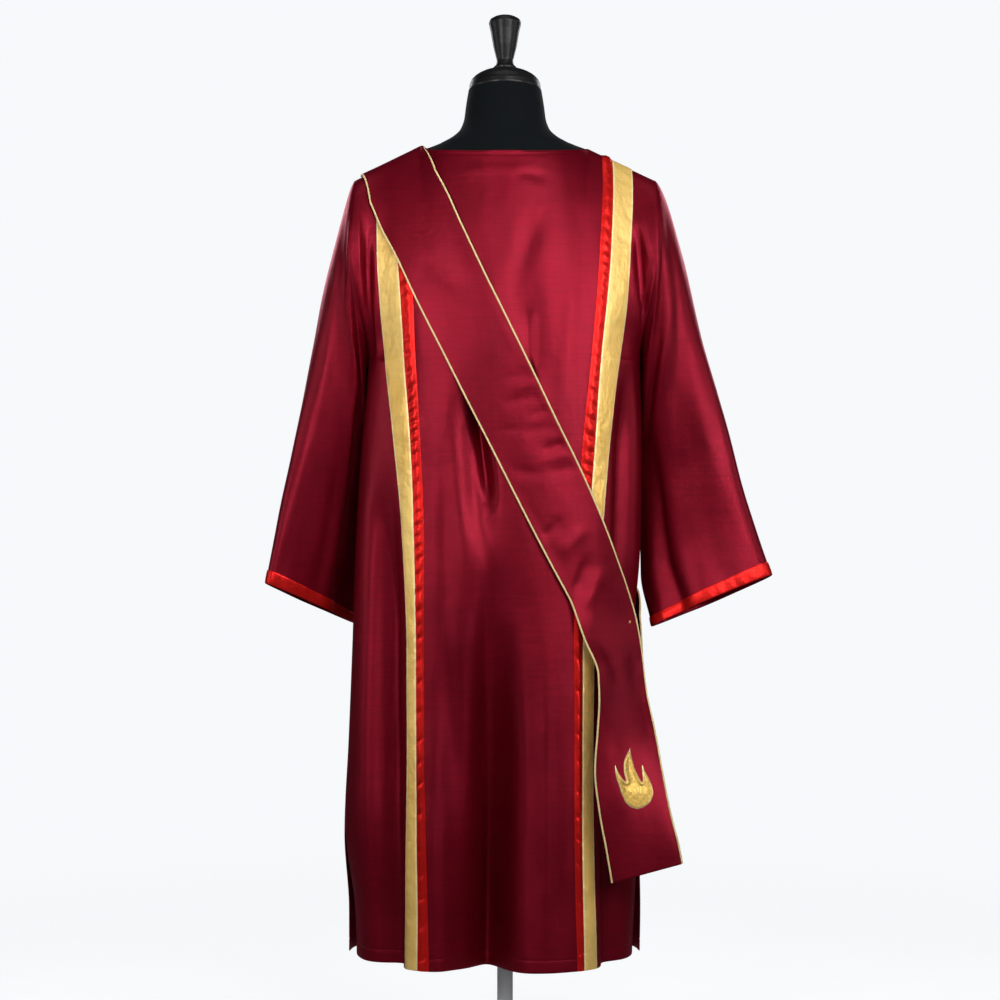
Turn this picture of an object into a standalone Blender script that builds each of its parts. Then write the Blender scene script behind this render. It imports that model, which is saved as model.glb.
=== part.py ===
"""Dalmatic with its deacon's stole, worn by a limbless dress form on a pole stand.

Metres, +Z up, +Y is the wearer's front and +X the wearer's right side.  The origin is the
centre of the base plate's underside, on the pole's axis.

The garment's body is one smooth surface around the form.  A place on it has two coordinates:
  across  -1 at the left side seam or armhole, 0 at the middle, 1 at the right one
  down     0 at the shoulder seam or neckline, 1 at the underarm, 2 at the hem
Panels, orphreys, stole and form are all worked out from this one surface.
"""

import math

import bpy
import numpy as np

# ---------------------------------------------------------------- cloth and seams
CLOTH_WALL = 0.0018
TRIM_WALL = 0.001
SEAM_GAP = 0.0003
SLOPE_STEP = 0.003

# ---------------------------------------------------------------- the garment's main sizes
SHOULDER_HALF = 0.240
NECK_HALF = 0.131
NECK_POINT_Z = 1.472
SHOULDER_TIP_Z = 1.420
UNDERARM_Z = 1.130
HEM_Z = 0.188
ARMHOLE_HALF_DEPTH = 0.070
NECKLINE_DEPTH = {"back": 0.080, "front": 0.088}
NECKLINE_DROP = {"back": 0.021, "front": 0.048}
SECTION_POWER = 2.5
SLIT_TOP_Z = 0.450
SLIT_PULL = 0.013
SLIT_SPREAD = 0.007
SIDE = {"back": -1.0, "front": 1.0}
EDGE = {"left": -1.0, "right": 1.0}
ON_SEAM = 1e-4

# Share of the half width where the body starts to turn into the armhole, and how firmly the
# armhole, the slit and the seams hold against the surface beside them
ARMHOLE_STARTS = 0.72
ARMHOLE_POWER = 6
SLIT_POWER = 8
SEAM_POWER = 10

# Columns of the body, where the trims start and end, as a share of the shoulder's half width.
GOLD_OUTER = 0.846
GOLD_INNER = 0.7125
RED_INNER = 0.6417
NECK_SHARE = NECK_HALF / SHOULDER_HALF
MARKS = (-1.0, -GOLD_OUTER, -GOLD_INNER, -RED_INNER, RED_INNER, GOLD_INNER, GOLD_OUTER, 1.0)

# height | left edge, gold outer, gold inner, red inner | red inner, gold inner, gold outer, edge
LINES = (
    (0.188, -0.250, -0.158, -0.1350, -0.117, 0.110, 0.1205, 0.1425, 0.216),
    (0.255, -0.250, -0.157, -0.1340, -0.118, 0.108, 0.1198, 0.1400, 0.217),
    (0.375, -0.257, -0.155, -0.1360, -0.121, 0.106, 0.1184, 0.1373, 0.214),
    (0.528, -0.250, -0.153, -0.1372, -0.125, 0.106, 0.1187, 0.1367, 0.209),
    (0.680, -0.244, -0.153, -0.1375, -0.125, 0.106, 0.1197, 0.1376, 0.205),
    (0.833, -0.239, -0.161, -0.1408, -0.125, 0.111, 0.1280, 0.1490, 0.216),
    (0.987, -0.230, -0.173, -0.1465, -0.131, 0.119, 0.1388, 0.1632, 0.219),
    (1.142, -0.218, -0.190, -0.1580, -0.139, 0.135, 0.1504, 0.1810, 0.216),
    (1.230, -0.232, -0.198, -0.1640, -0.143, 0.143, 0.1600, 0.1920, 0.232),
    (1.300, -0.240, -0.202, -0.1687, -0.147, 0.148, 0.1660, 0.1974, 0.240),
    (1.420, -0.240, -0.203, -0.1710, -0.154, 0.154, 0.1710, 0.2030, 0.240),
    (1.480, -0.240, -0.203, -0.1710, -0.154, 0.154, 0.1710, 0.2030, 0.240),
)

# height, how far the body's envelope stands back from and in front of the side seams
DEPTHS = (
    (0.188, 0.168, 0.160),
    (0.375, 0.158, 0.152),
    (0.528, 0.147, 0.146),
    (0.680, 0.137, 0.141),
    (0.833, 0.130, 0.139),
    (0.987, 0.125, 0.138),
    (1.142, 0.122, 0.136),
    (1.300, 0.116, 0.128),
    (1.480, 0.112, 0.120),
)

# panel | starts, is full, fades, ends (heights) | x at start, x at end | half width, depth
FOLDS = (
    ("back", 0.860, 0.340, 0.10, 0.00, -0.006, -0.034, 0.040, 0.090),
    ("back", 1.100, 1.000, 0.93, 0.80, -0.055, -0.036, 0.020, 0.014),
    ("back", 0.760, 0.500, 0.10, 0.00, -0.088, -0.082, 0.017, 0.012),
    ("back", 1.020, 0.700, 0.10, 0.00, -0.190, -0.188, 0.022, 0.044),
    ("back", 1.160, 1.000, 0.55, 0.30, 0.196, 0.180, 0.017, 0.020),
    ("back", 0.620, 0.350, 0.10, 0.00, 0.175, 0.176, 0.020, 0.030),
    ("back", 1.270, 1.180, 1.14, 1.04, 0.034, 0.030, 0.030, 0.006),
    ("front", 0.980, 0.400, 0.10, 0.00, 0.012, 0.022, 0.034, 0.070),
    ("front", 0.840, 0.400, 0.10, 0.00, -0.085, -0.092, 0.024, 0.030),
    ("front", 0.900, 0.500, 0.10, 0.00, -0.190, -0.196, 0.024, 0.042),
    ("front", 0.760, 0.380, 0.10, 0.00, 0.180, 0.180, 0.021, 0.034),
    ("front", 0.700, 0.420, 0.10, 0.00, 0.078, 0.080, 0.018, 0.016),
)

# Sleeves: share of length | top fold x, y, z | underarm fold x, y, z | half thickness
SLEEVE_RIGHT = (
    (0.00, 0.2400, 0.000, 1.420, 0.2160, 0.000, 1.130, 0.070),
    (0.08, 0.2620, 0.000, 1.384, 0.2240, 0.000, 1.096, 0.069),
    (0.20, 0.2862, -0.002, 1.294, 0.2300, 0.000, 1.045, 0.064),
    (0.40, 0.3147, -0.004, 1.168, 0.2310, 0.000, 0.960, 0.055),
    (0.60, 0.3504, -0.005, 1.042, 0.2300, 0.000, 0.875, 0.047),
    (0.80, 0.3840, -0.006, 0.916, 0.2240, 0.002, 0.790, 0.041),
    (1.00, 0.4256, -0.006, 0.790, 0.2350, 0.004, 0.708, 0.036),
)
SLEEVE_LEFT = (
    (0.00, -0.2400, 0.000, 1.420, -0.2180, 0.000, 1.130, 0.070),
    (0.08, -0.2560, -0.002, 1.384, -0.2265, 0.004, 1.096, 0.069),
    (0.20, -0.2780, -0.006, 1.292, -0.2370, 0.018, 1.045, 0.064),
    (0.40, -0.3010, -0.010, 1.163, -0.2440, 0.046, 0.960, 0.055),
    (0.60, -0.3260, -0.013, 1.034, -0.2500, 0.074, 0.875, 0.048),
    (0.80, -0.3530, -0.014, 0.906, -0.2530, 0.100, 0.790, 0.042),
    (1.00, -0.3790, -0.015, 0.777, -0.2550, 0.122, 0.707, 0.036),
)
SLEEVE_ROWS = (0.0, 0.03, 0.08, 0.15, 0.25, 0.36, 0.48, 0.60, 0.72, 0.84, 0.93, 0.972, 1.0)

# The least that the sleeve moves outwards from the armhole, for each unit of its length's share
SLEEVE_LEAVES = 0.060
# Shares of its length: where it has its own section, where its troughs start and how fast they grow
SLEEVE_SETTLES = 0.22
SLEEVE_TROUGHS_START = 0.05
SLEEVE_TROUGHS_GROW = 0.35
SLEEVE_SLOPE_STEP = 0.01

# Sleeve troughs: round the tube in degrees (0 top fold, 90 back, 270 front), half width, depth
SLEEVE_FOLDS = (
    (140.0, 22.0, 0.013),
    (62.0, 20.0, 0.008),
    (232.0, 22.0, 0.012),
    (305.0, 20.0, 0.008),
)

# Stole, back panel on the body: left edge x, z | right edge x, z, from the shoulder down
STOLE_RUN = (
    (-0.2270, None, -0.1320, None),
    (-0.2110, 1.378, -0.1090, 1.425),
    (-0.1925, 1.339, -0.0905, 1.388),
    (-0.1710, 1.300, -0.0725, 1.346),
    (-0.1330, 1.219, -0.0350, 1.264),
    (-0.0940, 1.141, 0.0035, 1.185),
    (-0.0560, 1.064, 0.0410, 1.108),
    (-0.0170, 0.987, 0.0775, 1.031),
    (0.0215, 0.910, 0.1145, 0.954),
    (0.0600, 0.834, 0.1500, 0.871),
    (0.1005, 0.757, 0.1790, 0.792),
)
# Below the hip the ends hang free: left edge x, y, z | right edge x, y, z
STOLE_BACK_HANG = (
    (0.1260, -0.1370, 0.697, 0.2035, -0.0700, 0.722),
    (0.1420, -0.1480, 0.657, 0.2130, -0.0700, 0.670),
    (0.1432, -0.1540, 0.608, 0.2186, -0.0860, 0.612),
    (0.1390, -0.1580, 0.556, 0.2297, -0.1030, 0.553),
    (0.1366, -0.1620, 0.497, 0.2396, -0.1180, 0.493),
    (0.1449, -0.1650, 0.437, 0.2506, -0.1310, 0.433),
    (0.1561, -0.1670, 0.376, 0.2624, -0.1420, 0.385),
    (0.1645, -0.1680, 0.327, 0.2684, -0.1460, 0.355),
)
STOLE_FRONT_HANG = (
    (0.1310, 0.1350, 0.690, 0.2120, 0.0260, 0.758),
    (0.1560, 0.1230, 0.640, 0.2150, -0.0060, 0.712),
    (0.1780, 0.1080, 0.590, 0.2180, -0.0140, 0.650),
    (0.1980, 0.0900, 0.530, 0.2240, -0.0180, 0.560),
    (0.2120, 0.0800, 0.450, 0.2300, -0.0220, 0.460),
    (0.2210, 0.0740, 0.372, 0.2340, -0.0250, 0.380),
)
STOLE_LIFT_AT_SHOULDER = TRIM_WALL + 2 * SEAM_GAP + 0.0002
STOLE_LIFT = {"back": 0.0045, "front": 0.0060}
STOLE_LIFT_GROWS = 0.25
STOLE_CELLS = 4
STOLE_SHOULDER_CELLS = 4
PUSH_ROUNDS = 12
PUSH_MARGIN = 1.25
PIPING_RADIUS = 0.0017
PIPING_SIDES = 5

# Embroidered flame on the stole's end: place along and across the panel, and its size
FLAME_Z = 0.4845
FLAME_ACROSS = 0.54
FLAME_HEIGHT = 0.088
FLAME_WIDTH = 0.056
FLAME_LIFT = 0.0007
FLAME_HEART = (0.0, 0.33)
FLAME_HEART_RISE = 0.0006

# ---------------------------------------------------------------- the dress form and its stand
FORM_CLEARANCE = CLOTH_WALL + 0.0005
FORM_SLIM = 0.030
FORM_SLIM_FULL = 0.7
FORM_SHARE = 0.93
FORM_NECK_ROOM = 0.006
FORM_NECK_ROOM_ENDS = 0.5
# height, share of the garment's width and of its depth that the form fills
FORM_SHARES = (
    (0.730, 0.76, 0.82),
    (0.850, 0.78, 0.85),
    (0.980, 0.73, 0.82),
    (1.130, 0.86, 0.92),
    (1.300, 0.97, 0.98),
    (1.400, 1.00, 1.00),
    (1.480, 1.00, 1.00),
)
FORM_BOTTOM_Z = 0.730
FORM_NECK_COLUMNS = 8
FORM_SHOULDER_COLUMNS = 4
FORM_WAIST_ROWS = 5
# height, half width, half depth of the neck
NECK_RINGS = (
    (1.4800, 0.1020, 0.0720),
    (1.4900, 0.0840, 0.0680),
    (1.5020, 0.0715, 0.0640),
    (1.5180, 0.0655, 0.0610),
    (1.5400, 0.0625, 0.0595),
    (1.5640, 0.0585, 0.0585),
)
NECK_TOP_Z = 1.5640
NECK_TILT = math.radians(5.0)
NECK_TILT_GROWS = 0.07
CAP_RADIUS = 0.0572
CAP_RIM = 0.006
CAP_HEIGHT = 0.036
CAP_FLAT_RADIUS = 0.019
CAP_ROWS = 5
CAP_SIDES = 28
# radius, height above the cap
FINIAL_PROFILE = (
    (0.0, 0.0),
    (0.0185, 0.0),
    (0.0190, 0.0030),
    (0.0140, 0.0080),
    (0.0131, 0.0150),
    (0.0190, 0.0390),
    (0.0233, 0.0637),
    (0.0262, 0.0765),
    (0.0240, 0.0815),
    (0.0170, 0.0857),
    (0.0090, 0.0875),
    (0.0, 0.0880),
)
FINIAL_SIDES = 20
POLE_RADIUS = 0.0125
POLE_SIDES = 24
BASE_RADIUS = 0.180
BASE_THICK = 0.008
BASE_SIDES = 48
COLLAR_RADIUS = 0.024
COLLAR_FLANGE = 0.003
COLLAR_TOP = 0.040
STAND_BEVEL = 0.0015

# ---------------------------------------------------------------- rows and columns of the panels
YOKE_ROWS = 9
SKIRT_ROWS = {"back": 17, "front": 15}
CENTRE_CELLS = {"back": 7, "front": 6}
CENTRE_POWER = 1.6
EDGE_SHARES = (0.0, 0.33, 0.60, 0.81, 0.94, 1.0)

FINISHES = {
    "burgundy_satin": ((0.20, 0.004, 0.018), 0.42, 0.0),
    "gold_satin": ((0.78, 0.52, 0.16), 0.38, 0.0),
    "red_satin": ((0.62, 0.012, 0.016), 0.40, 0.0),
    "pale_gold_cord": ((0.86, 0.70, 0.36), 0.50, 0.0),
    "gold_thread": ((0.80, 0.50, 0.12), 0.35, 0.3),
    "black_jersey": ((0.010, 0.013, 0.016), 0.80, 0.0),
    "black_lacquered_wood": ((0.012, 0.012, 0.011), 0.28, 0.0),
    "brushed_steel": ((0.60, 0.61, 0.62), 0.35, 0.9),
}


# ---------------------------------------------------------------- scene and solids
def clear_scene():
    """Empties the scene, so that only the object is left in it."""
    for thing in list(bpy.data.objects):
        bpy.data.objects.remove(thing, do_unlink=True)


def finish_of(name):
    """The material of one finish, made on first use."""
    found = bpy.data.materials.get(name)
    if found:
        return found
    colour, roughness, metallic = FINISHES[name]
    material = bpy.data.materials.new(name)
    material.use_nodes = True
    shader = material.node_tree.nodes["Principled BSDF"]
    shader.inputs["Base Color"].default_value = (*colour, 1.0)
    shader.inputs["Roughness"].default_value = roughness
    shader.inputs["Metallic"].default_value = metallic
    return material


def signed_volume(points, faces):
    """Six times the volume that the triangles enclose, negative when they face inwards."""
    corners = np.asarray(points)[np.asarray(faces)]
    return float(np.linalg.det(corners).sum())


def add_solid(name, points, faces, finish, sharp_degrees=40.0):
    """Makes one closed body with its faces pointing out."""
    if signed_volume(points, faces) < 0:
        faces = [tuple(reversed(face)) for face in faces]
    mesh = bpy.data.meshes.new(name)
    mesh.from_pydata([tuple(map(float, point)) for point in points], [], faces)
    mesh.materials.append(finish_of(finish))
    mesh.shade_smooth()
    mesh.set_sharp_from_angle(angle=math.radians(sharp_degrees))
    solid = bpy.data.objects.new(name, mesh)
    bpy.context.scene.collection.objects.link(solid)
    return solid


def wall_between(outer, inner, closed=False):
    """Points and triangles of a wall with the two skins, which are rows of points."""
    rows, columns = outer.shape[:2]
    points = np.concatenate([outer.reshape(-1, 3), inner.reshape(-1, 3)])
    shift = rows * columns
    spans = columns if closed else columns - 1
    faces = []
    for row in range(rows - 1):
        for column in range(spans):
            a = row * columns + column
            b = row * columns + (column + 1) % columns
            c = b + columns
            d = a + columns
            faces += [(a, b, c), (a, c, d)]
            faces += [(shift + a, shift + c, shift + b), (shift + a, shift + d, shift + c)]
    for row, turn in ((0, 1), (rows - 1, -1)):
        for column in range(spans):
            a = row * columns + column
            b = row * columns + (column + 1) % columns
            faces += [(a, shift + a, shift + b)[::turn], (a, shift + b, b)[::turn]]
    if not closed:
        for column, turn in ((0, -1), (columns - 1, 1)):
            for row in range(rows - 1):
                a = row * columns + column
                b = a + columns
                faces += [(a, shift + a, shift + b)[::turn], (a, shift + b, b)[::turn]]
    return points, faces


def turned_solid(name, profile, sides, finish, sharp_degrees=35.0):
    """A solid turned round the Z axis from a profile of (radius, height) that starts and ends on it."""
    points = [(0.0, 0.0, profile[0][1])]
    for radius, height in profile[1:-1]:
        for step in range(sides):
            angle = 2 * math.pi * step / sides
            points.append((radius * math.cos(angle), radius * math.sin(angle), height))
    points.append((0.0, 0.0, profile[-1][1]))
    last = len(points) - 1
    rings = len(profile) - 2
    faces = []
    for step in range(sides):
        after = (step + 1) % sides
        faces.append((0, 1 + after, 1 + step))
        for ring in range(rings - 1):
            low = 1 + ring * sides
            high = low + sides
            faces.append((low + step, low + after, high + after))
            faces.append((low + step, high + after, high + step))
        top = 1 + (rings - 1) * sides
        faces.append((top + step, top + after, last))
    return add_solid(name, points, faces, finish, sharp_degrees)


# ---------------------------------------------------------------- curves
def smooth_step(share):
    share = np.clip(share, 0.0, 1.0)
    return share * share * (3.0 - 2.0 * share)


def shared_slopes(knots, values):
    """The curve's slope at each knot: level where the values turn, so that it never overshoots."""
    steps = np.diff(values) / np.diff(knots)
    slopes = np.zeros_like(values)
    same_way = steps[1:] * steps[:-1] > 0
    both = np.where(same_way, steps[1:] + steps[:-1], 1.0)
    slopes[1:-1] = np.where(same_way, 2.0 * steps[1:] * steps[:-1] / both, 0.0)
    slopes[0] = steps[0]
    slopes[-1] = steps[-1]
    return slopes


def curve_at(knots, values, place):
    """A smooth curve through the values of one table column, read at the given places."""
    knots = np.asarray(knots, float)
    values = np.asarray(values, float)
    slopes = shared_slopes(knots, values)
    place = np.clip(place, knots[0], knots[-1])
    cell = np.clip(np.searchsorted(knots, place, side="right") - 1, 0, len(knots) - 2)
    span = knots[cell + 1] - knots[cell]
    share = (place - knots[cell]) / span
    rest = 1.0 - share
    start = values[cell] * (1.0 + 2.0 * share) * rest**2 + slopes[cell] * span * share * rest**2
    end = values[cell + 1] * (3.0 - 2.0 * share) * share**2
    return start + end - slopes[cell + 1] * span * share**2 * rest


def unit(vectors):
    return vectors / np.linalg.norm(vectors, axis=-1, keepdims=True)


def column_of(table, column):
    return [row[column] for row in table]


# ---------------------------------------------------------------- the body's surface
def slit_share(z):
    """0 above the side slits, growing to 1 at the hem."""
    return smooth_step((SLIT_TOP_Z - z) / (SLIT_TOP_Z - HEM_Z))


def yoke_fall(down):
    """Share of the height from the shoulder seam to the underarm."""
    return (1.0 - np.cos(np.pi * np.clip(down, 0.0, 1.0))) / 2.0


def mark_places(panel, z):
    """x of each named line of the body at the heights z, one layer for each line."""
    places = []
    for mark in range(len(MARKS)):
        places.append(curve_at(column_of(LINES, 0), column_of(LINES, mark + 1), z))
    if panel == "back":
        pull = SLIT_PULL * slit_share(z)
        places[0] = places[0] + pull
        places[-1] = places[-1] - pull
    return np.stack(places)


def x_of_column(panel, across, z):
    places = mark_places(panel, z)
    cell = np.clip(np.searchsorted(MARKS, across, side="right") - 1, 0, len(MARKS) - 2)
    low = np.take_along_axis(places, cell[None], 0)[0]
    high = np.take_along_axis(places, cell[None] + 1, 0)[0]
    marks = np.asarray(MARKS)
    return low + (high - low) * (across - marks[cell]) / (marks[cell + 1] - marks[cell])


def column_of_x(panel, x, z):
    """The column that passes through x at the height z."""
    places = mark_places(panel, z)
    cell = np.clip((places <= x).sum(axis=0) - 1, 0, len(MARKS) - 2)
    low = np.take_along_axis(places, cell[None], 0)[0]
    high = np.take_along_axis(places, cell[None] + 1, 0)[0]
    marks = np.asarray(MARKS)
    return marks[cell] + (marks[cell + 1] - marks[cell]) * (x - low) / (high - low)


def neck_arc(across):
    """1 at the middle of the neckline, 0 from the neck point outwards."""
    return np.sqrt(np.clip(1.0 - (across / NECK_SHARE) ** 2, 0.0, 1.0))


def top_height(panel, across):
    """Height of the neckline and of the shoulder seam."""
    beyond = np.clip((np.abs(across) - NECK_SHARE) / (1.0 - NECK_SHARE), 0.0, 1.0)
    ridge = NECK_POINT_Z + (SHOULDER_TIP_Z - NECK_POINT_Z) * beyond
    return ridge - NECKLINE_DROP[panel] * neck_arc(across)


def height_at(panel, across, down):
    top = top_height(panel, across)
    yoke = top + (UNDERARM_Z - top) * yoke_fall(down)
    skirt = UNDERARM_Z - (down - 1.0) * (UNDERARM_Z - HEM_Z)
    return np.where(down > 1.0, skirt, yoke)


def down_of_height(panel, across, z):
    top = top_height(panel, across)
    fall = np.clip((top - z) / (top - UNDERARM_Z), 0.0, 1.0)
    yoke = np.arccos(1.0 - 2.0 * fall) / np.pi
    skirt = 1.0 + (UNDERARM_Z - z) / (UNDERARM_Z - HEM_Z)
    return np.where(z < UNDERARM_Z, skirt, yoke)


def body_reach(panel, x, z):
    """Half of the body's width on the side of x, and its depth from the side seams."""
    places = mark_places(panel, z)
    edge = np.where(x < 0, -places[0], places[-1])
    depth = curve_at(column_of(DEPTHS, 0), column_of(DEPTHS, 1 if panel == "back" else 2), z)
    return edge, depth


def envelope(panel, across, down):
    """The body's surface without its folds, as points."""
    across, down = np.broadcast_arrays(np.asarray(across, float), np.asarray(down, float))
    z = height_at(panel, across, down)
    x = x_of_column(panel, across, z)
    edge, depth = body_reach(panel, x, z)
    reach = np.clip(np.abs(x) / edge, 0.0, 1.0)
    section = depth * np.sqrt(1.0 - reach**SECTION_POWER)
    fall = yoke_fall(down)
    neck = neck_arc(across)
    start = NECKLINE_DEPTH[panel] * neck
    rise = np.clip(1.0 - (1.0 - fall) ** 2, 0.0, 1.0) ** (0.5 + 0.5 * neck)
    inside = start + (section - start) * rise
    armhole = ARMHOLE_HALF_DEPTH * 2.0 * np.sqrt(np.clip(fall * (1.0 - fall), 0.0, 1.0))
    turning = smooth_step((reach - ARMHOLE_STARTS) / (1.0 - ARMHOLE_STARTS))
    near_edge = turning * (1.0 - fall**ARMHOLE_POWER)
    out = inside * (1.0 - near_edge) + armhole * near_edge
    spread = SLIT_SPREAD * slit_share(z)
    out = np.maximum(out, spread * reach**SLIT_POWER) + SEAM_GAP / 2.0
    return np.stack([x, SIDE[panel] * out, z], axis=-1)


def outward(panel, surface, across, down):
    """Unit vectors that point out of the body, at right angles to the surface."""
    across, down = np.broadcast_arrays(np.asarray(across, float), np.asarray(down, float))
    left = np.clip(across - SLOPE_STEP, -1.0, 1.0)
    right = np.clip(across + SLOPE_STEP, -1.0, 1.0)
    above = np.clip(down - SLOPE_STEP, 0.0, 2.0)
    below = np.clip(down + SLOPE_STEP, 0.0, 2.0)
    along = surface(panel, right, down) - surface(panel, left, down)
    fall = surface(panel, across, below) - surface(panel, across, above)
    normal = np.cross(along, fall) * SIDE[panel]
    at_edge = np.abs(across) > 1.0 - ON_SEAM
    side_seam = at_edge & (down >= 1.0)
    armhole_seam = at_edge & (down < 1.0)
    shoulder_seam = (np.abs(across) > NECK_SHARE - ON_SEAM) & (down < ON_SEAM)
    normal[..., 1] = np.where(side_seam | shoulder_seam, 0.0, normal[..., 1])
    normal[..., 0] = np.where(armhole_seam, 0.0, normal[..., 0])
    return unit(normal)


def fold_depth(panel, x, z, reach):
    """How far the cloth falls in from the envelope."""
    total = np.zeros_like(x)
    for name, starts, full, fades, ends, x_start, x_end, width, depth in FOLDS:
        if name != panel:
            continue
        share = np.clip((starts - z) / (starts - max(ends, HEM_Z)), 0.0, 1.0)
        centre = x_start + (x_end - x_start) * share
        grown = smooth_step((starts - z) / (starts - full))
        faded = 1.0 - smooth_step((fades - z) / (fades - ends))
        total += depth * grown * faded * np.exp(-(((x - centre) / width) ** 2))
    return total * (1.0 - reach**SEAM_POWER)


def draped(panel, across, down):
    """The body's surface with its folds."""
    across, down = np.broadcast_arrays(np.asarray(across, float), np.asarray(down, float))
    base = envelope(panel, across, down)
    x = base[..., 0]
    z = base[..., 2]
    edge, _ = body_reach(panel, x, z)
    depth = fold_depth(panel, x, z, np.clip(np.abs(x) / edge, 0.0, 1.0))
    return base - outward(panel, envelope, across, down) * depth[..., None]


# ---------------------------------------------------------------- panels and orphreys
def panel_columns(panel):
    """Columns of a panel, which include the edges of its trims."""
    edge = [GOLD_OUTER + (1.0 - GOLD_OUTER) * share for share in EDGE_SHARES]
    band = [RED_INNER, GOLD_INNER, (GOLD_INNER + GOLD_OUTER) / 2.0]
    cells = CENTRE_CELLS[panel]
    steps = [1.0 - step / cells for step in range(1, cells + 1)]
    neck = [NECK_SHARE * (1.0 - step**CENTRE_POWER) for step in steps]
    right = neck + band + edge
    return np.array([-value for value in reversed(right)] + [0.0] + right)


def panel_rows(panel):
    yoke = [step / YOKE_ROWS for step in range(YOKE_ROWS + 1)]
    cells = SKIRT_ROWS[panel]
    return np.array(yoke + [1.0 + step / cells for step in range(1, cells + 1)])


def lay_on_panel(panel, across, down, low, high):
    """Two skins that follow the panel's own points, moved out by low and by high."""
    grid_down, grid_across = np.meshgrid(down, across, indexing="ij")
    points = draped(panel, grid_across, grid_down)
    normals = outward(panel, draped, grid_across, grid_down)
    return points + normals * high, points + normals * low


def add_panel(panel):
    outer, inner = lay_on_panel(panel, panel_columns(panel), panel_rows(panel), -CLOTH_WALL, 0.0)
    add_solid("panel_" + panel, *wall_between(outer, inner), "burgundy_satin")


def add_orphrey(panel, side_name, colour, low_mark, high_mark):
    """One vertical trim, laid on the panel from the shoulder or neckline to the hem."""
    columns = panel_columns(panel)
    on_side = columns * EDGE[side_name]
    chosen = columns[(on_side > low_mark - ON_SEAM) & (on_side < high_mark + ON_SEAM)]
    outer, inner = lay_on_panel(panel, chosen, panel_rows(panel), SEAM_GAP, SEAM_GAP + TRIM_WALL)
    inset = np.array([SEAM_GAP / 2.0, 0.0, 0.0])
    for skin in (outer, inner):
        skin[:, 0] += inset
        skin[:, -1] -= inset
    name = "orphrey_" + colour + "_" + panel + "_" + side_name
    add_solid(name, *wall_between(outer, inner), colour + "_satin")


# ---------------------------------------------------------------- sleeves
def armhole_ring():
    """The armhole's points, as places round the sleeve: top fold, back, underarm, front."""
    turns = np.arange(2 * YOKE_ROWS) / (2 * YOKE_ROWS)
    return 2.0 * np.pi * turns


def sleeve_surface(side_name, along, turn, folds=True):
    """The sleeve's outer surface, at shares of its length and angles round it."""
    along, turn = np.broadcast_arrays(np.asarray(along, float), np.asarray(turn, float))
    table = SLEEVE_RIGHT if side_name == "right" else SLEEVE_LEFT
    knots = column_of(table, 0)
    lines = [curve_at(knots, column_of(table, column), along) for column in range(1, 8)]
    top = np.stack(lines[0:3], axis=-1)
    under = np.stack(lines[3:6], axis=-1)
    thick = lines[6][..., None]
    step = 2.0 * SLEEVE_SLOPE_STEP
    ahead = [curve_at(knots, column_of(table, column), along + step) for column in range(1, 7)]
    behind = [curve_at(knots, column_of(table, column), along - step) for column in range(1, 7)]
    travel = np.stack([a - b for a, b in zip(ahead, behind)], axis=-1)
    travel = travel[..., 0:3] + travel[..., 3:6]
    across = top - under
    width = np.cross(across, travel)
    width = unit(width) * np.where(width[..., 1:2] > 0, -1.0, 1.0)
    middle = (top + under) / 2.0
    half = across / 2.0
    tube = middle + half * np.cos(turn)[..., None] + width * thick * np.sin(turn)[..., None]
    if folds:
        tube = tube - sleeve_trough(along, turn)[..., None] * unit(tube - middle)
    down = np.where(turn <= np.pi, turn, 2.0 * np.pi - turn) / np.pi
    edge = EDGE[side_name]
    back = envelope("back", np.full_like(down, edge), down)
    front = envelope("front", np.full_like(down, edge), down)
    ring = np.where((turn <= np.pi)[..., None], back, front)
    ring[..., 1] *= 1.0 - SEAM_GAP / (np.abs(ring[..., 1]) + SEAM_GAP)
    ring[..., 0] += edge * SEAM_GAP
    settled = smooth_step(along / SLEEVE_SETTLES)[..., None]
    tube = ring * (1.0 - settled) + tube * settled
    leaving = (edge * ring[..., 0] + SLEEVE_LEAVES * along) * (along < SLEEVE_SETTLES)
    tube[..., 0] = edge * np.maximum(edge * tube[..., 0], leaving)
    return tube


def sleeve_trough(along, turn):
    total = np.zeros_like(turn)
    degrees = np.degrees(turn)
    for centre, width, depth in SLEEVE_FOLDS:
        total += depth * np.exp(-(((degrees - centre) / width) ** 2))
    return total * smooth_step((along - SLEEVE_TROUGHS_START) / SLEEVE_TROUGHS_GROW)


def sleeve_outward(side_name, along, turn):
    step = SLEEVE_SLOPE_STEP
    before = np.clip(along - step, 0.0, 1.0)
    after = np.clip(along + step, 0.0, 1.0)
    run = sleeve_surface(side_name, after, turn) - sleeve_surface(side_name, before, turn)
    back_turn = np.mod(turn - step, 2.0 * np.pi)
    on_turn = np.mod(turn + step, 2.0 * np.pi)
    round_it = sleeve_surface(side_name, along, on_turn) - sleeve_surface(side_name, along, back_turn)
    normal = np.cross(run, round_it) * -EDGE[side_name]
    normal[..., 0] = np.where(along < ON_SEAM, 0.0, normal[..., 0])
    return unit(normal)


def sleeve_skins(side_name, rows, low, high):
    grid_along, grid_turn = np.meshgrid(rows, armhole_ring(), indexing="ij")
    points = sleeve_surface(side_name, grid_along, grid_turn)
    normals = sleeve_outward(side_name, grid_along, grid_turn)
    return points + normals * high, points + normals * low


def add_sleeve(side_name):
    outer, inner = sleeve_skins(side_name, SLEEVE_ROWS, -CLOTH_WALL, 0.0)
    add_solid("sleeve_" + side_name, *wall_between(outer, inner, closed=True), "burgundy_satin")
    outer, inner = sleeve_skins(side_name, SLEEVE_ROWS[-2:], SEAM_GAP, SEAM_GAP + TRIM_WALL)
    add_solid("cuff_band_" + side_name, *wall_between(outer, inner, closed=True), "red_satin")


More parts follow.
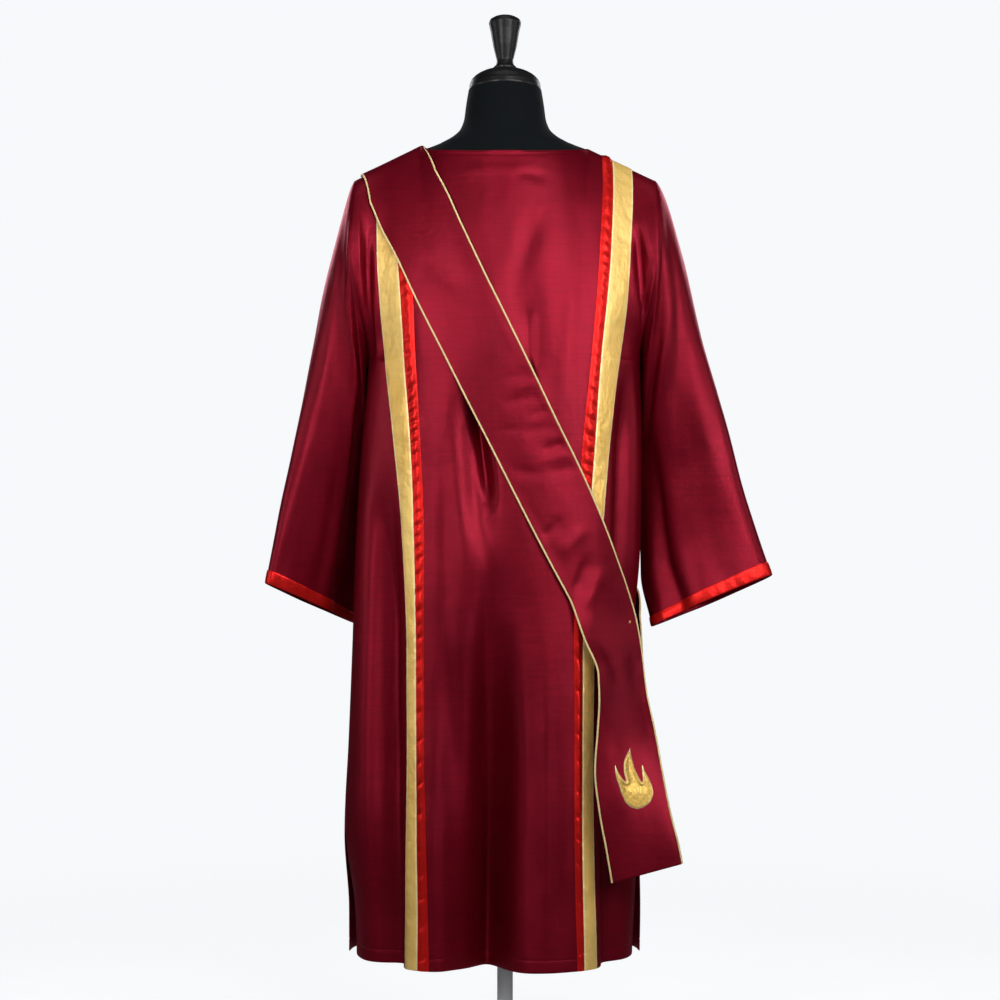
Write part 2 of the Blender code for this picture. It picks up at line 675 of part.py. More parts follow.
# ---------------------------------------------------------------- stole
def on_body(panel, place, share):
    """Points of the stole on the body, at places along its run and shares of its width."""
    place, share = np.broadcast_arrays(np.asarray(place, float), np.asarray(share, float))
    knots = np.arange(1.0, len(STOLE_RUN))
    lines = [curve_at(knots, column_of(STOLE_RUN[1:], column), place) for column in range(4)]
    x = lines[0] * (1.0 - share) + lines[2] * share
    z = lines[1] * (1.0 - share) + lines[3] * share
    across = column_of_x(panel, x, z)
    down = down_of_height(panel, across, z)
    ridge = (STOLE_RUN[0][0] * (1.0 - share) + STOLE_RUN[0][2] * share) / SHOULDER_HALF
    over = np.clip(place, 0.0, 1.0)
    across = ridge * (1.0 - over) + across * over
    down = down * over
    rise = STOLE_LIFT[panel] - STOLE_LIFT_AT_SHOULDER
    lift = STOLE_LIFT_AT_SHOULDER + rise * smooth_step(place / STOLE_LIFT_GROWS)
    normals = outward(panel, envelope, across, down)
    return envelope(panel, across, down) + normals * lift[..., None]


def push_out(panel, points, lift):
    """Moves points straight out from the form's axis until they clear the body by the lift."""
    x = points[..., 0]
    y = points[..., 1]
    z = points[..., 2]
    edge, depth = body_reach(panel, x, z)
    scale = np.ones_like(x)
    for _ in range(PUSH_ROUNDS):
        wide = np.abs(scale * x / edge) ** SECTION_POWER
        deep = (scale * y / depth) ** 2
        slope = (SECTION_POWER * wide + 2.0 * deep) / scale
        scale = scale - (wide + deep - 1.0) / slope
    radius = np.hypot(x, y)
    grow = np.maximum(1.0, scale + PUSH_MARGIN * lift / radius)
    return points * np.stack([grow, grow, np.ones_like(grow)], axis=-1)


def stole_rows(panel):
    """Places of the stole's rows along it: whole numbers are the stations of its tables."""
    run = len(STOLE_RUN) - 1
    hang = len(STOLE_BACK_HANG if panel == "back" else STOLE_FRONT_HANG)
    shoulder = np.linspace(0.0, 1.0, STOLE_SHOULDER_CELLS + 1)
    rest = 1.0 + np.arange(1, 2 * (run - 1 + hang) + 1) / 2.0
    return np.concatenate([shoulder, rest])


def stole_grid(panel, rows, cells):
    """The stole's face next to the body: rows along it, columns across it."""
    hang = np.array(STOLE_BACK_HANG if panel == "back" else STOLE_FRONT_HANG)
    last = len(STOLE_RUN) - 1
    share = np.linspace(0.0, 1.0, cells + 1)
    grid_row, grid_share = np.meshgrid(rows, share, indexing="ij")
    grid = on_body(panel, np.minimum(grid_row, last), grid_share)
    for column, part in enumerate(share):
        knots = np.array([last - 1.0, float(last)])
        start = on_body(panel, knots, part)
        free = hang[:, 0:3] * (1.0 - part) + hang[:, 3:6] * part
        route = np.concatenate([start, free])
        knots = last - 1.0 + np.arange(len(route))
        below = rows > last
        for axis in range(3):
            grid[below, column, axis] = curve_at(knots, route[:, axis], rows[below])
    below = rows > last
    grid[below] = push_out(panel, grid[below], STOLE_LIFT[panel])
    return grid


def grid_outward(grid, side):
    """Unit vectors at right angles to a grid of points."""
    along = np.gradient(grid, axis=0)
    across = np.gradient(grid, axis=1)
    return unit(np.cross(across, along)) * side


def add_stole(panel):
    inner = stole_grid(panel, stole_rows(panel), STOLE_CELLS)
    normals = grid_outward(inner, SIDE[panel])
    normals[0, :, 1] = 0.0
    outer = inner + unit(normals) * CLOTH_WALL
    add_solid("stole_" + panel, *wall_between(outer, inner), "burgundy_satin")
    middle = (outer + inner) / 2.0
    add_piping(panel, "left", middle[:, 0], middle[:, 0] - middle[:, 1], normals[:, 0])
    add_piping(panel, "right", middle[:, -1], middle[:, -1] - middle[:, -2], normals[:, -1])
    return outer, normals


def add_piping(panel, side_name, edge, away, normals):
    """A round cord along one long edge of the stole."""
    away = unit(away)
    normals = unit(normals)
    centre = edge + away * (PIPING_RADIUS + SEAM_GAP)
    points = []
    for step in range(PIPING_SIDES):
        angle = math.pi + 2.0 * math.pi * (step + 0.5) / PIPING_SIDES
        points.append(centre + PIPING_RADIUS * (away * math.cos(angle) + normals * math.sin(angle)))
    ring = np.stack(points, axis=1)
    rows = len(ring)
    faces = []
    for row in range(rows - 1):
        for step in range(PIPING_SIDES):
            a = row * PIPING_SIDES + step
            b = row * PIPING_SIDES + (step + 1) % PIPING_SIDES
            faces += [(a, b, b + PIPING_SIDES), (a, b + PIPING_SIDES, a + PIPING_SIDES)]
    last = (rows - 1) * PIPING_SIDES
    for step in range(1, PIPING_SIDES - 1):
        faces.append((0, step + 1, step))
        faces.append((last, last + step, last + step + 1))
    add_solid("piping_" + panel + "_" + side_name, ring.reshape(-1, 3), faces, "pale_gold_cord")


def flame_outline():
    """A plain three-tongued flame, symmetric, as points from -0.5 to 0.5 across and 0 to 1 up."""
    side = [(0.10, 0.0), (0.34, 0.09), (0.46, 0.26), (0.48, 0.44), (0.40, 0.70)]
    notch = [(0.30, 0.50), (0.20, 0.47), (0.17, 0.62), (0.12, 0.82)]
    right = side + notch
    left = [(-x, y) for x, y in reversed(right)]
    return [(0.0, -0.03)] + right + [(0.0, 1.0)] + left


def on_grid(grid, row_share, column_share):
    """The point of a grid at shares of its rows and columns, on its flat cells."""
    row = min(max(row_share, 0.0), 1.0) * (grid.shape[0] - 1)
    column = min(max(column_share, 0.0), 1.0) * (grid.shape[1] - 1)
    r = min(int(row), grid.shape[0] - 2)
    c = min(int(column), grid.shape[1] - 2)
    fr = row - r
    fc = column - c
    near = grid[r, c] * (1 - fc) + grid[r, c + 1] * fc
    far = grid[r + 1, c] * (1 - fc) + grid[r + 1, c + 1] * fc
    return near * (1 - fr) + far * fr


def add_flame(outer, normals):
    """The embroidery on the stole's end, made from the end's own points, moved out."""
    outline = flame_outline()
    heights = outer[:, STOLE_CELLS // 2, 2]
    shares = np.linspace(0.0, 1.0, len(heights))
    width = np.linalg.norm(outer[-1, -1] - outer[-1, 0])
    points = []
    for lift, heart_lift in ((0.0, 0.0), (TRIM_WALL, TRIM_WALL + FLAME_HEART_RISE)):
        for x, y in outline + [FLAME_HEART]:
            height = FLAME_Z + (y - 0.5) * FLAME_HEIGHT
            along = float(np.interp(height, heights[::-1], shares[::-1]))
            across = FLAME_ACROSS + x * FLAME_WIDTH / width
            raised = FLAME_LIFT + (heart_lift if (x, y) == FLAME_HEART else lift)
            points.append(on_grid(outer, along, across) + on_grid(normals, along, across) * raised)
    count = len(outline)
    centre = count
    shift = count + 1
    faces = []
    for step in range(count):
        after = (step + 1) % count
        faces.append((centre, after, step))
        faces.append((shift + centre, shift + step, shift + after))
        faces.append((step, after, shift + after))
        faces.append((step, shift + after, shift + step))
    add_solid("stole_flame", points, faces, "gold_thread")


# ---------------------------------------------------------------- dress form and stand
def form_columns():
    """Columns of the form: close together round the neck, then out to the arm plates."""
    angles = np.arange(FORM_NECK_COLUMNS + 1) * np.pi / FORM_NECK_COLUMNS
    neck = -NECK_SHARE * np.cos(angles)
    outer = np.linspace(NECK_SHARE, FORM_SHARE, FORM_SHOULDER_COLUMNS + 1)[1:]
    return np.concatenate([-outer[::-1], neck, outer])


def add_form():
    """The padded torso: one closed body from the flat underside to the neck's tilted top."""
    columns = form_columns()
    yoke = np.arange(YOKE_ROWS + 1) / YOKE_ROWS
    bottom = 1.0 + (UNDERARM_Z - FORM_BOTTOM_Z) / (UNDERARM_Z - HEM_Z)
    down = np.concatenate([yoke, np.linspace(1.0, bottom, FORM_WAIST_ROWS + 1)[1:]])
    grid_down, grid_across = np.meshgrid(down, columns, indexing="ij")
    inset = FORM_CLEARANCE + FORM_SLIM * smooth_step(grid_down / FORM_SLIM_FULL)
    neck_room = FORM_NECK_ROOM * np.sqrt(neck_arc(grid_across))
    inset = inset + neck_room * (grid_down < FORM_NECK_ROOM_ENDS)
    points = []
    rows = []
    sheets = {}
    for panel in ("back", "front"):
        surface = envelope(panel, grid_across, grid_down)
        normals = outward(panel, envelope, grid_across, grid_down)
        surface = surface - normals * inset[..., None]
        for axis in (0, 1):
            heights = column_of(FORM_SHARES, 0)
            surface[..., axis] *= curve_at(heights, column_of(FORM_SHARES, axis + 1), surface[..., 2])
        sheets[panel] = surface
        sheets[panel][-1, :, 2] = FORM_BOTTOM_Z
    ridge = np.abs(columns) > NECK_SHARE - ON_SEAM
    for row in range(len(down)):
        ids = {"back": [], "front": []}
        for column in range(len(columns)):
            for panel in ("back", "front"):
                if row == 0 and ridge[column] and panel == "front":
                    ids["front"].append(ids["back"][column])
                    continue
                point = sheets[panel][row, column].copy()
                if row == 0 and ridge[column]:
                    point[1] = 0.0
                ids[panel].append(len(points))
                points.append(point)
        rows.append(ids["back"] + ids["front"][::-1])
    faces = []
    for upper, lower in zip(rows, rows[1:]):
        faces += ring_faces(upper, lower)
    last = rows[-1]
    hub = len(points)
    points.append(np.array([0.0, 0.0, FORM_BOTTOM_Z]))
    faces += [(last[i], last[(i + 1) % len(last)], hub) for i in range(len(last))]
    first = FORM_SHOULDER_COLUMNS
    count = FORM_NECK_COLUMNS + 1
    width = len(columns)
    back_ids = rows[0][first : first + count]
    front_ids = rows[0][2 * width - first - count : 2 * width - first]
    loop = back_ids + front_ids[1:-1]
    angles = np.arange(2 * FORM_NECK_COLUMNS) * np.pi / FORM_NECK_COLUMNS
    for z, half_width, half_depth in NECK_RINGS:
        ring = []
        tilt = math.tan(NECK_TILT) * smooth_step((z - NECK_RINGS[0][0]) / NECK_TILT_GROWS)
        for angle in angles:
            x = -half_width * math.cos(angle)
            y = -half_depth * math.sin(angle)
            ring.append(len(points))
            points.append(np.array([x, y, z - y * float(tilt)]))
        faces += ring_faces(ring, loop)
        loop = ring
    hub = len(points)
    points.append(np.array([0.0, 0.0, NECK_TOP_Z]))
    faces += [(loop[(i + 1) % len(loop)], loop[i], hub) for i in range(len(loop))]
    add_solid("form_torso", points, faces, "black_jersey", 60.0)


def ring_faces(upper, lower):
    """Triangles between two closed loops of the same count, without those of no width."""
    faces = []
    count = len(upper)
    for i in range(count):
        j = (i + 1) % count
        for face in ((upper[i], upper[j], lower[j]), (upper[i], lower[j], lower[i])):
            if len(set(face)) == 3:
                faces.append(face)
    return faces


def add_neck_cap():
    """The domed wooden cap and its turned finial, both square to the neck's tilted top."""
    dome = []
    for step in range(CAP_ROWS + 1):
        angle = math.acos(CAP_FLAT_RADIUS / CAP_RADIUS) * step / CAP_ROWS
        height = CAP_RIM + (CAP_HEIGHT - CAP_RIM) * math.sin(angle)
        dome.append((CAP_RADIUS * math.cos(angle), height))
    top = dome[-1][1]
    cap_profile = [(0.0, 0.0), (CAP_RADIUS, 0.0), *dome, (0.0, top)]
    cap = turned_solid("neck_cap", cap_profile, CAP_SIDES, "black_lacquered_wood")
    finial = turned_solid("neck_finial", FINIAL_PROFILE, FINIAL_SIDES, "black_lacquered_wood")
    holder = bpy.data.objects.new("neck_top", None)
    bpy.context.scene.collection.objects.link(holder)
    holder.location = (0.0, 0.0, NECK_TOP_Z)
    holder.rotation_euler = (-NECK_TILT, 0.0, 0.0)
    for piece, height in ((cap, SEAM_GAP), (finial, top + 2 * SEAM_GAP)):
        piece.parent = holder
        piece.location = (0.0, 0.0, height)


def add_stand():
    """The round base plate, the collar that stands on it and the pole that stands in the collar."""
    bevel = STAND_BEVEL
    plate_profile = (
        (0.0, 0.0),
        (BASE_RADIUS - bevel, 0.0),
        (BASE_RADIUS, bevel),
        (BASE_RADIUS, BASE_THICK - bevel),
        (BASE_RADIUS - bevel, BASE_THICK),
        (0.0, BASE_THICK),
    )
    turned_solid("stand_base", plate_profile, BASE_SIDES, "brushed_steel")
    foot = BASE_THICK + SEAM_GAP
    collar_profile = (
        (0.0, foot),
        (COLLAR_RADIUS + COLLAR_FLANGE, foot),
        (COLLAR_RADIUS + COLLAR_FLANGE, foot + bevel),
        (COLLAR_RADIUS, foot + bevel + COLLAR_FLANGE),
        (COLLAR_RADIUS, COLLAR_TOP - bevel),
        (COLLAR_RADIUS - bevel, COLLAR_TOP),
        (0.0, COLLAR_TOP),
    )
    turned_solid("stand_collar", collar_profile, POLE_SIDES, "brushed_steel")
    low = COLLAR_TOP + SEAM_GAP
    high = FORM_BOTTOM_Z - SEAM_GAP
    pole_profile = ((0.0, low), (POLE_RADIUS, low), (POLE_RADIUS, high), (0.0, high))
    turned_solid("stand_pole", pole_profile, POLE_SIDES, "brushed_steel")


# ---------------------------------------------------------------- the whole object
def main():
    clear_scene()
    for panel in ("back", "front"):
        add_panel(panel)
        for side_name in ("left", "right"):
            add_orphrey(panel, side_name, "gold", GOLD_INNER, GOLD_OUTER)
            add_orphrey(panel, side_name, "red", RED_INNER, GOLD_INNER)
    for side_name in ("left", "right"):
        add_sleeve(side_name)
    add_stole("front")
    outer, normals = add_stole("back")
    add_flame(outer, normals)
    add_form()
    add_neck_cap()
    add_stand()


main()
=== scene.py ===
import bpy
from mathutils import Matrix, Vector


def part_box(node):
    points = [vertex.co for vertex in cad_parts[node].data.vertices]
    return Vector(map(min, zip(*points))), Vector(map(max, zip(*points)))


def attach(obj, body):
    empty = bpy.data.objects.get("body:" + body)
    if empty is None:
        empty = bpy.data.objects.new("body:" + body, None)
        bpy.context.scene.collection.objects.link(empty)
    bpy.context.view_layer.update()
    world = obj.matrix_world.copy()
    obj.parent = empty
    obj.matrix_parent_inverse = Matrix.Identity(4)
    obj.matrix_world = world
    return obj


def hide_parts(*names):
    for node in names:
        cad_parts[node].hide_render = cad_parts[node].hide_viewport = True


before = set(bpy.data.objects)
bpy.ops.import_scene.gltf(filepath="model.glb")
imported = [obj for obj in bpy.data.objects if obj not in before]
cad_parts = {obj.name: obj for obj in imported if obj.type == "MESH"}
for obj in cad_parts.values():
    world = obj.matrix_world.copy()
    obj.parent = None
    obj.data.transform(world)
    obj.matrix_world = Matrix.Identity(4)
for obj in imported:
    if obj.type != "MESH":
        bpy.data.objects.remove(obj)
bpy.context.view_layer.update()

import functools
import itertools
import math

import bpy
import numpy as np
from bpy.props import FloatProperty, FloatVectorProperty, IntProperty, PointerProperty
from mathutils import Vector, geometry

bl_info = {
    "name": "Dalmatic on a dress form",
    "version": (1, 0, 0),
    "blender": (4, 5, 0),
    "location": "3D View > Sidebar > Dalmatic",
    "description": "Satin dalmatic with its sash on a limbless dress form, and a plain studio",
    "category": "Add Mesh",
}

# Metres, +Z up, +Y the wearer's front, +X the wearer's right. Single sizes are in metres, and so
# are tables once in_metres has read them: they are written in millimetres. A place on the body:
#   across  -1 at the left side seam or armhole, 0 at the middle, 1 at the right one
#   down     0 at the shoulder seam or neckline, 1 at the underarm, 2 at the hem
# Every soft piece is a thin closed shell laid on this one surface or on the sleeve's.


def in_metres(rows):
    """A table written in millimetres, as rows in metres."""
    return tuple(tuple(value / 1000.0 for value in row) for row in rows)


# ---- the garment's cut
SEAM_GAP = 0.0003
SLOPE_STEP = 0.003
SHOULDER_HALF = 0.240
NECK_HALF = 0.131
NECK_POINT_Z = 1.472
SHOULDER_TIP_Z = 1.420
UNDERARM_Z = 1.130
HEM_Z = 0.188
ARMHOLE_HALF_DEPTH = 0.070
NECKLINE_DEPTH = {"back": 0.080, "front": 0.088}
NECKLINE_DROP = {"back": 0.0155, "front": 0.048}
SECTION_POWER = 2.5
NECK_STITCHES = 0.085
SLIT_TOP_Z = 0.450
SLIT_PULL = 0.013
SLIT_SPREAD = 0.007
SIDE = {"back": -1.0, "front": 1.0}
EDGE = {"left": -1.0, "right": 1.0}
ON_SEAM = 1e-4
ARMHOLE_STARTS = 0.72
ARMHOLE_POWER = 6
SLIT_POWER = 8
SEAM_POWER = 10
CREASE_SEAM_POWER = 26
GOLD_OUTER = 0.846
GOLD_INNER = 0.7125
RED_INNER = 0.6417
NECK_SHARE = NECK_HALF / SHOULDER_HALF
MARKS = (-1.0, -GOLD_OUTER, -GOLD_INNER, -RED_INNER, RED_INNER, GOLD_INNER, GOLD_OUTER, 1.0)
FOLDS_FROM = 0.08
CREASE_ENDS = 0.35
STITCHES_END = 0.985
HEM_POINTS = 260
NECK_POINTS = 160
SIDE_CELLS = 22
SIDE_BUNCHING = 1.9
HEM_GROOVE_SPREAD = 0.0013
NECK_GROOVE_SPREAD = 0.010
SEWN_DEPTH = 0.0005
# Heights of the body's rows about the hem's stitches, from above them down
HEM_ROWS = (0.008, 0.004, 0.0026, 0.0013, 0.0, -0.0013, -0.0026, -0.006, -0.010, -0.015)
# How far the edges of a piece roll out, in wall thicknesses: first and last row, first and last column
ROLLS = {
    "body": (0.35, 0.35, 0.0, 0.0),
    "sleeve": (0.0, 0.35, 0.0, 0.0),
    "cuff": (0.12, 0.12, 0.0, 0.0),
    "band": (0.2, 0.2, 0.12, 0.12),
    "sash": (0.0, 0.35, 0.2, 0.2),
}

# height | x of the left edge, gold outer, gold inner, red inner | red inner, gold inner, gold outer, edge
LINES = in_metres((
    (188, -250, -158, -135, -117, 110, 120.5, 142.5, 216),
    (255, -250, -157, -134, -118, 108, 119.8, 140, 217),
    (375, -257, -155, -136, -121, 106, 118.4, 137.3, 214),
    (528, -250, -153, -137.2, -125, 106, 118.7, 136.7, 209),
    (680, -244, -153, -137.5, -125, 106, 119.7, 137.6, 205),
    (833, -239, -161, -140.8, -125, 111, 128, 149, 216),
    (987, -230, -173, -146.5, -131, 119, 138.8, 163.2, 219),
    (1142, -218, -190, -158, -139, 135, 150.4, 181, 216),
    (1230, -232, -198, -164, -143, 143, 160, 192, 232),
    (1300, -240, -202, -168.7, -147, 148, 166, 197.4, 240),
    (1420, -240, -203, -171, -154, 154, 171, 203, 240),
    (1480, -240, -203, -171, -154, 154, 171, 203, 240),
))

# height | how far the body's envelope stands back from and in front of the side seams
DEPTHS = in_metres((
    (188, 168, 160), (375, 158, 152), (528, 147, 146), (680, 137, 141), (833, 130, 139),
    (987, 125, 138), (1142, 122, 136), (1300, 116, 128), (1480, 112, 120),
))

# Large folds: starts, is full, fades, ends (heights) | x at start, x at end | half width, depth
FOLDS = {
    "back": in_metres((
        (860, 340, 100, 0, -6, -34, 40, 90), (1100, 1000, 930, 800, -55, -36, 20, 14),
        (760, 500, 100, 0, -88, -82, 17, 12), (1020, 700, 100, 0, -190, -188, 22, 44),
        (1160, 1000, 550, 300, 196, 180, 17, 20), (620, 350, 100, 0, 175, 176, 20, 30),
        (1270, 1180, 1140, 1040, 34, 30, 30, 6),
    )),
    "front": in_metres((
        (980, 400, 100, 0, 12, 22, 34, 70), (840, 400, 100, 0, -85, -92, 24, 30),
        (900, 500, 100, 0, -190, -196, 24, 42), (760, 380, 100, 0, 180, 180, 21, 34),
        (700, 420, 100, 0, 78, 80, 18, 16),
    )),
}

# Small creases: x, z at the start | x, z at the end | bow | half width left, right | depth inwards
CREASES = {
    "back": in_metres((
        (-50, 1086, -20, 880, 0, 9, 10, 20), (-80, 1070, -64, 760, 2, 14, 14, -1),
        (-34, 940, -10, 700, 2, 18, 22, 3), (-27, 860, -32, 100, -3, 13, 18, 12),
        (22, 860, 12, 160, 2, 20, 18, -2.4), (48, 740, 46, 180, -2, 14, 12, 3.2),
        (78, 640, 80, 180, 2, 9, 13, 2.4), (62, 560, 62, 160, 1, 10, 10, -1.6),
        (-94, 1020, -88, 660, -2, 10, 14, 2.2), (-74, 640, -70, 170, 2, 10, 14, 2.9),
        (-106, 520, -104, 180, 1, 8, 8, 1.6), (-52, 700, -50, 180, 0, 10, 10, -1.9),
        (-204, 960, -200, 260, 2, 10, 10, 9), (-214, 900, -220, 300, 0, 8, 10, -2.2),
        (-176, 640, -176, 180, -2, 10, 8, 3.6), (194, 1130, 180, 540, -3, 8, 9, 4.8),
        (162, 560, 162, 190, 1, 8, 8, 2.4), (62, 1372, 4, 1200, -4, 20, 14, 2.6),
        (37, 1215, 40, 1075, 0, 8, 10, 3.6), (86, 1300, 60, 1020, 6, 22, 16, 1.9),
        (128, 1330, 104, 1020, 0, 12, 16, 1.9), (10, 1420, 70, 1408, 4, 6, 10, 1.2),
        (-80, 1424, 60, 1424, -4, 8, 10, -1), (206, 1372, 233, 1270, 0, 5, 6, -4),
        (208, 1352, 224, 1160, -3, 6, 8, 10.2), (232, 1290, 214, 1170, 0, 4, 6, 4.8),
        (-216, 1356, -212, 1080, 0, 7, 6, 10.8), (-206, 1330, -202, 1120, 0, 4, 4, -1.8),
        (-232, 1372, -228, 1250, 0, 4, 4, -3),
    )),
    "front": in_metres((
        (12, 960, 22, 160, 2, 12, 18, 6), (-24, 1080, -18, 720, 3, 14, 12, 3.2),
        (46, 860, 52, 180, -2, 14, 14, -2.4), (-50, 720, -52, 180, 2, 10, 14, 2.9),
        (-88, 880, -92, 200, 0, 10, 12, 3.6), (92, 640, 92, 180, 1, 10, 10, 2.4),
        (-190, 980, -196, 400, 0, 8, 8, 4.3), (182, 840, 180, 240, 0, 8, 9, 4.3),
        (-120, 1330, -60, 1150, -4, 16, 16, 2.6), (118, 1320, 66, 1130, 4, 16, 16, 2.4),
        (0, 1330, 6, 1160, 2, 16, 20, 2.4), (210, 1360, 226, 1160, -2, 6, 8, 9.6),
        (206, 1372, 234, 1280, 0, 5, 6, -3.6), (-210, 1360, -224, 1160, 2, 8, 6, 9.6),
        (-206, 1372, -234, 1290, 0, 6, 5, -3.6),
    )),
}

# Slow swell of hanging cloth: turns per metre across and down, shift, height
SWELLS = (
    (6.1, 0.9, 0.3, 0.0006), (9.7, -1.3, 1.1, 0.00045), (15.3, 1.9, 2.6, 0.0003), (3.2, 2.3, 4, 0.0007),
    (24, -3.1, 0.8, 0.00014), (7.3, 7.9, 5.1, 0.0002),
)

# Sleeves: thousandths of the length | top fold x, y, z | underarm fold x, y, z | half thickness
SLEEVES = {
    "right": in_metres((
        (0, 240, 0, 1420, 216, 0, 1130, 70), (80, 262, 0, 1384, 217, 12, 1096, 69),
        (200, 286.2, -2, 1294, 218, 24, 1045, 64), (400, 314.7, -4, 1168, 218, 40, 960, 55),
        (600, 350.4, -5, 1042, 219, 48, 875, 47), (800, 384, -6, 916, 219, 40, 790, 41),
        (1000, 425.6, -6, 790, 235, 4, 708, 36),
    )),
    "left": in_metres((
        (0, -240, 0, 1420, -218, 0, 1130, 70), (80, -256, -2, 1384, -220.5, 16, 1096, 69),
        (200, -278, -6, 1292, -224, 36, 1045, 64), (400, -301, -10, 1163, -229, 60, 960, 55),
        (600, -326, -13, 1034, -233, 86, 875, 48), (800, -353, -14, 906, -239, 106, 790, 42),
        (1000, -379, -15, 777, -250, 122, 707, 36),
    )),
}
SLEEVE_LEAVES = 0.008
SLEEVE_SETTLES = 0.22
SLEEVE_TROUGHS_START = 0.05
SLEEVE_TROUGHS_GROW = 0.35
SLEEVE_SLOPE_STEP = 0.01
CUFF_STARTS = 0.967
SLEEVE_CREASES_FROM = 0.03
SLEEVE_SEAM_RIDGE = 0.0018
SLEEVE_SEAM_AT = 0.020
SLEEVE_SEAM_SPREAD = 0.012
SLEEVE_RADIUS = 0.11
SLEEVE_LENGTH = 0.7
SLEEVE_TOP = 0.08
SLEEVE_TOP_CELLS = 16
SLEEVE_CELLS = 111
SLEEVE_TURNS = 144
CUFF_TURNS = 432
CUFF_CELLS = 12
CUFF_STITCH_ROWS = (2, -3)

# Sleeve troughs: degrees round the tube (0 top fold, 90 back, 270 front), half width | depth in metres
SLEEVE_FOLDS = (
    (136, 24, 0.019), (62, 20, 0.006), (232, 22, 0.012), (305, 20, 0.008),
)

# Sleeve creases: degrees, hundredths of the length at the start | the same at the end | bow
# | half width on either side in degrees | depth inwards in metres
SLEEVE_CREASES = {
    "right": (
        (14, -4, 10, 20, 0, 16, 18, -0.005), (46, 0.5, 164, 36, 0, 8, 11, 0.0125),
        (64, 0.5, 150, 24, 4, 7, 8, -0.004), (26, 1, 96, 44, 4, 10, 12, -0.0036),
        (34, 4, 62, 40, 2, 7, 9, 0.0048), (66, 34, 94, 70, 0, 10, 13, 0.0024),
        (40, 34, 98, 108, -4, 17, 22, 0.0018), (20, 40, 50, 110, 0, 12, 14, 0.0032),
        (120, 40, 124, 108, 3, 10, 13, 0.0048), (146, 44, 150, 110, 0, 7, 8, -0.0034),
        (228, 2, 220, 80, 0, 10, 10, 0.007), (262, 0.5, 252, 60, 0, 10, 10, 0.006),
        (300, 0.5, 286, 50, 0, 9, 11, 0.005), (278, 40, 282, 108, 0, 14, 14, 0.005),
    ),
    "left": (
        (84, 0.5, 122, 26, 0, 9, 11, 0.012), (122, 8, 126, 112, -10, 14, 18, 0.022),
        (54, 0.5, 84, 40, 3, 8, 9, -0.004), (44, 2, 66, 16, 0, 6, 7, 0.006),
        (30, 4, 50, 60, 2, 9, 12, 0.004), (74, 44, 76, 108, 3, 10, 13, 0.0056),
        (48, 50, 44, 110, 0, 12, 12, 0.003), (156, 10, 166, 104, 0, 8, 8, 0.006),
        (230, 2, 222, 80, 0, 10, 10, 0.007), (264, 0.5, 254, 60, 0, 10, 10, 0.006),
        (302, 0.5, 290, 50, 0, 9, 11, 0.005), (276, 40, 280, 108, 0, 14, 14, 0.005),
    ),
}

# ---- the sash (deacon's stole)
# Where it crosses the shoulder seam: left edge x | right edge x
SASH_RIDGE = (-0.2270, -0.1320)
# On the body below it: left edge x, z | right edge x, z
SASH_RUN = in_metres((
    (-211, 1378, -109, 1425), (-192.5, 1339, -90.5, 1388), (-171, 1300, -72.5, 1346),
    (-133, 1219, -35, 1264), (-94, 1141, 3.5, 1185), (-56, 1064, 41, 1108), (-17, 987, 77.5, 1031),
    (21.5, 910, 114.5, 954), (60, 834, 150, 871), (100.5, 757, 179, 792),
))
# Below the hip the ends hang free: left edge x, y, z | right edge x, y, z
SASH_HANG = {
    "back": in_metres((
        (122.8, -137, 697, 203.5, -70, 722), (143.2, -149, 644, 213, -70, 665),
        (144.6, -154, 602, 218.6, -86, 610), (142.2, -158, 556, 229.7, -110, 553),
        (138.4, -162, 497, 239.6, -132, 493), (144.9, -164, 437, 250.6, -150, 433),
        (156.1, -165, 376, 262.4, -160, 385), (164.5, -165.5, 327, 268.4, -164, 355),
    )),
    "front": in_metres((
        (131, 135, 690, 212, 26, 758), (156, 123, 640, 215, -6, 712), (178, 108, 590, 218, -14, 650),
        (198, 90, 530, 224, -18, 560), (212, 80, 450, 230, -22, 460), (221, 74, 372, 234, -25, 380),
    )),
}
SASH_LIFT_AT_SHOULDER = 0.001 + 2 * SEAM_GAP + 0.0002
SASH_LIFT = {"back": 0.0045, "front": 0.0060}
SASH_LIFT_GROWS = 0.25
PUSH_ROUNDS = 12
PUSH_MARGIN = 1.25
SASH_CELLS = 24
SASH_ROWS_EACH = 16
SASH_CREASE_MARGIN = 0.012
SASH_CREASES_FROM = 0.03
SASH_SWELL = 0.5
SASH_SWELL_SHIFT = 0.3
SASH_HEM = 0.012
PIPING_SIDES = 12
TACK_Z = 0.719
TACK_COLUMN = 20
TACK_THREADS = 6
TACK_REACH = 0.0026
TACK_FOOT = 0.0002
TACK_HALF_WIDTH = 0.0007
TACK_RISE = 0.0012
TACK_SINK = 0.4

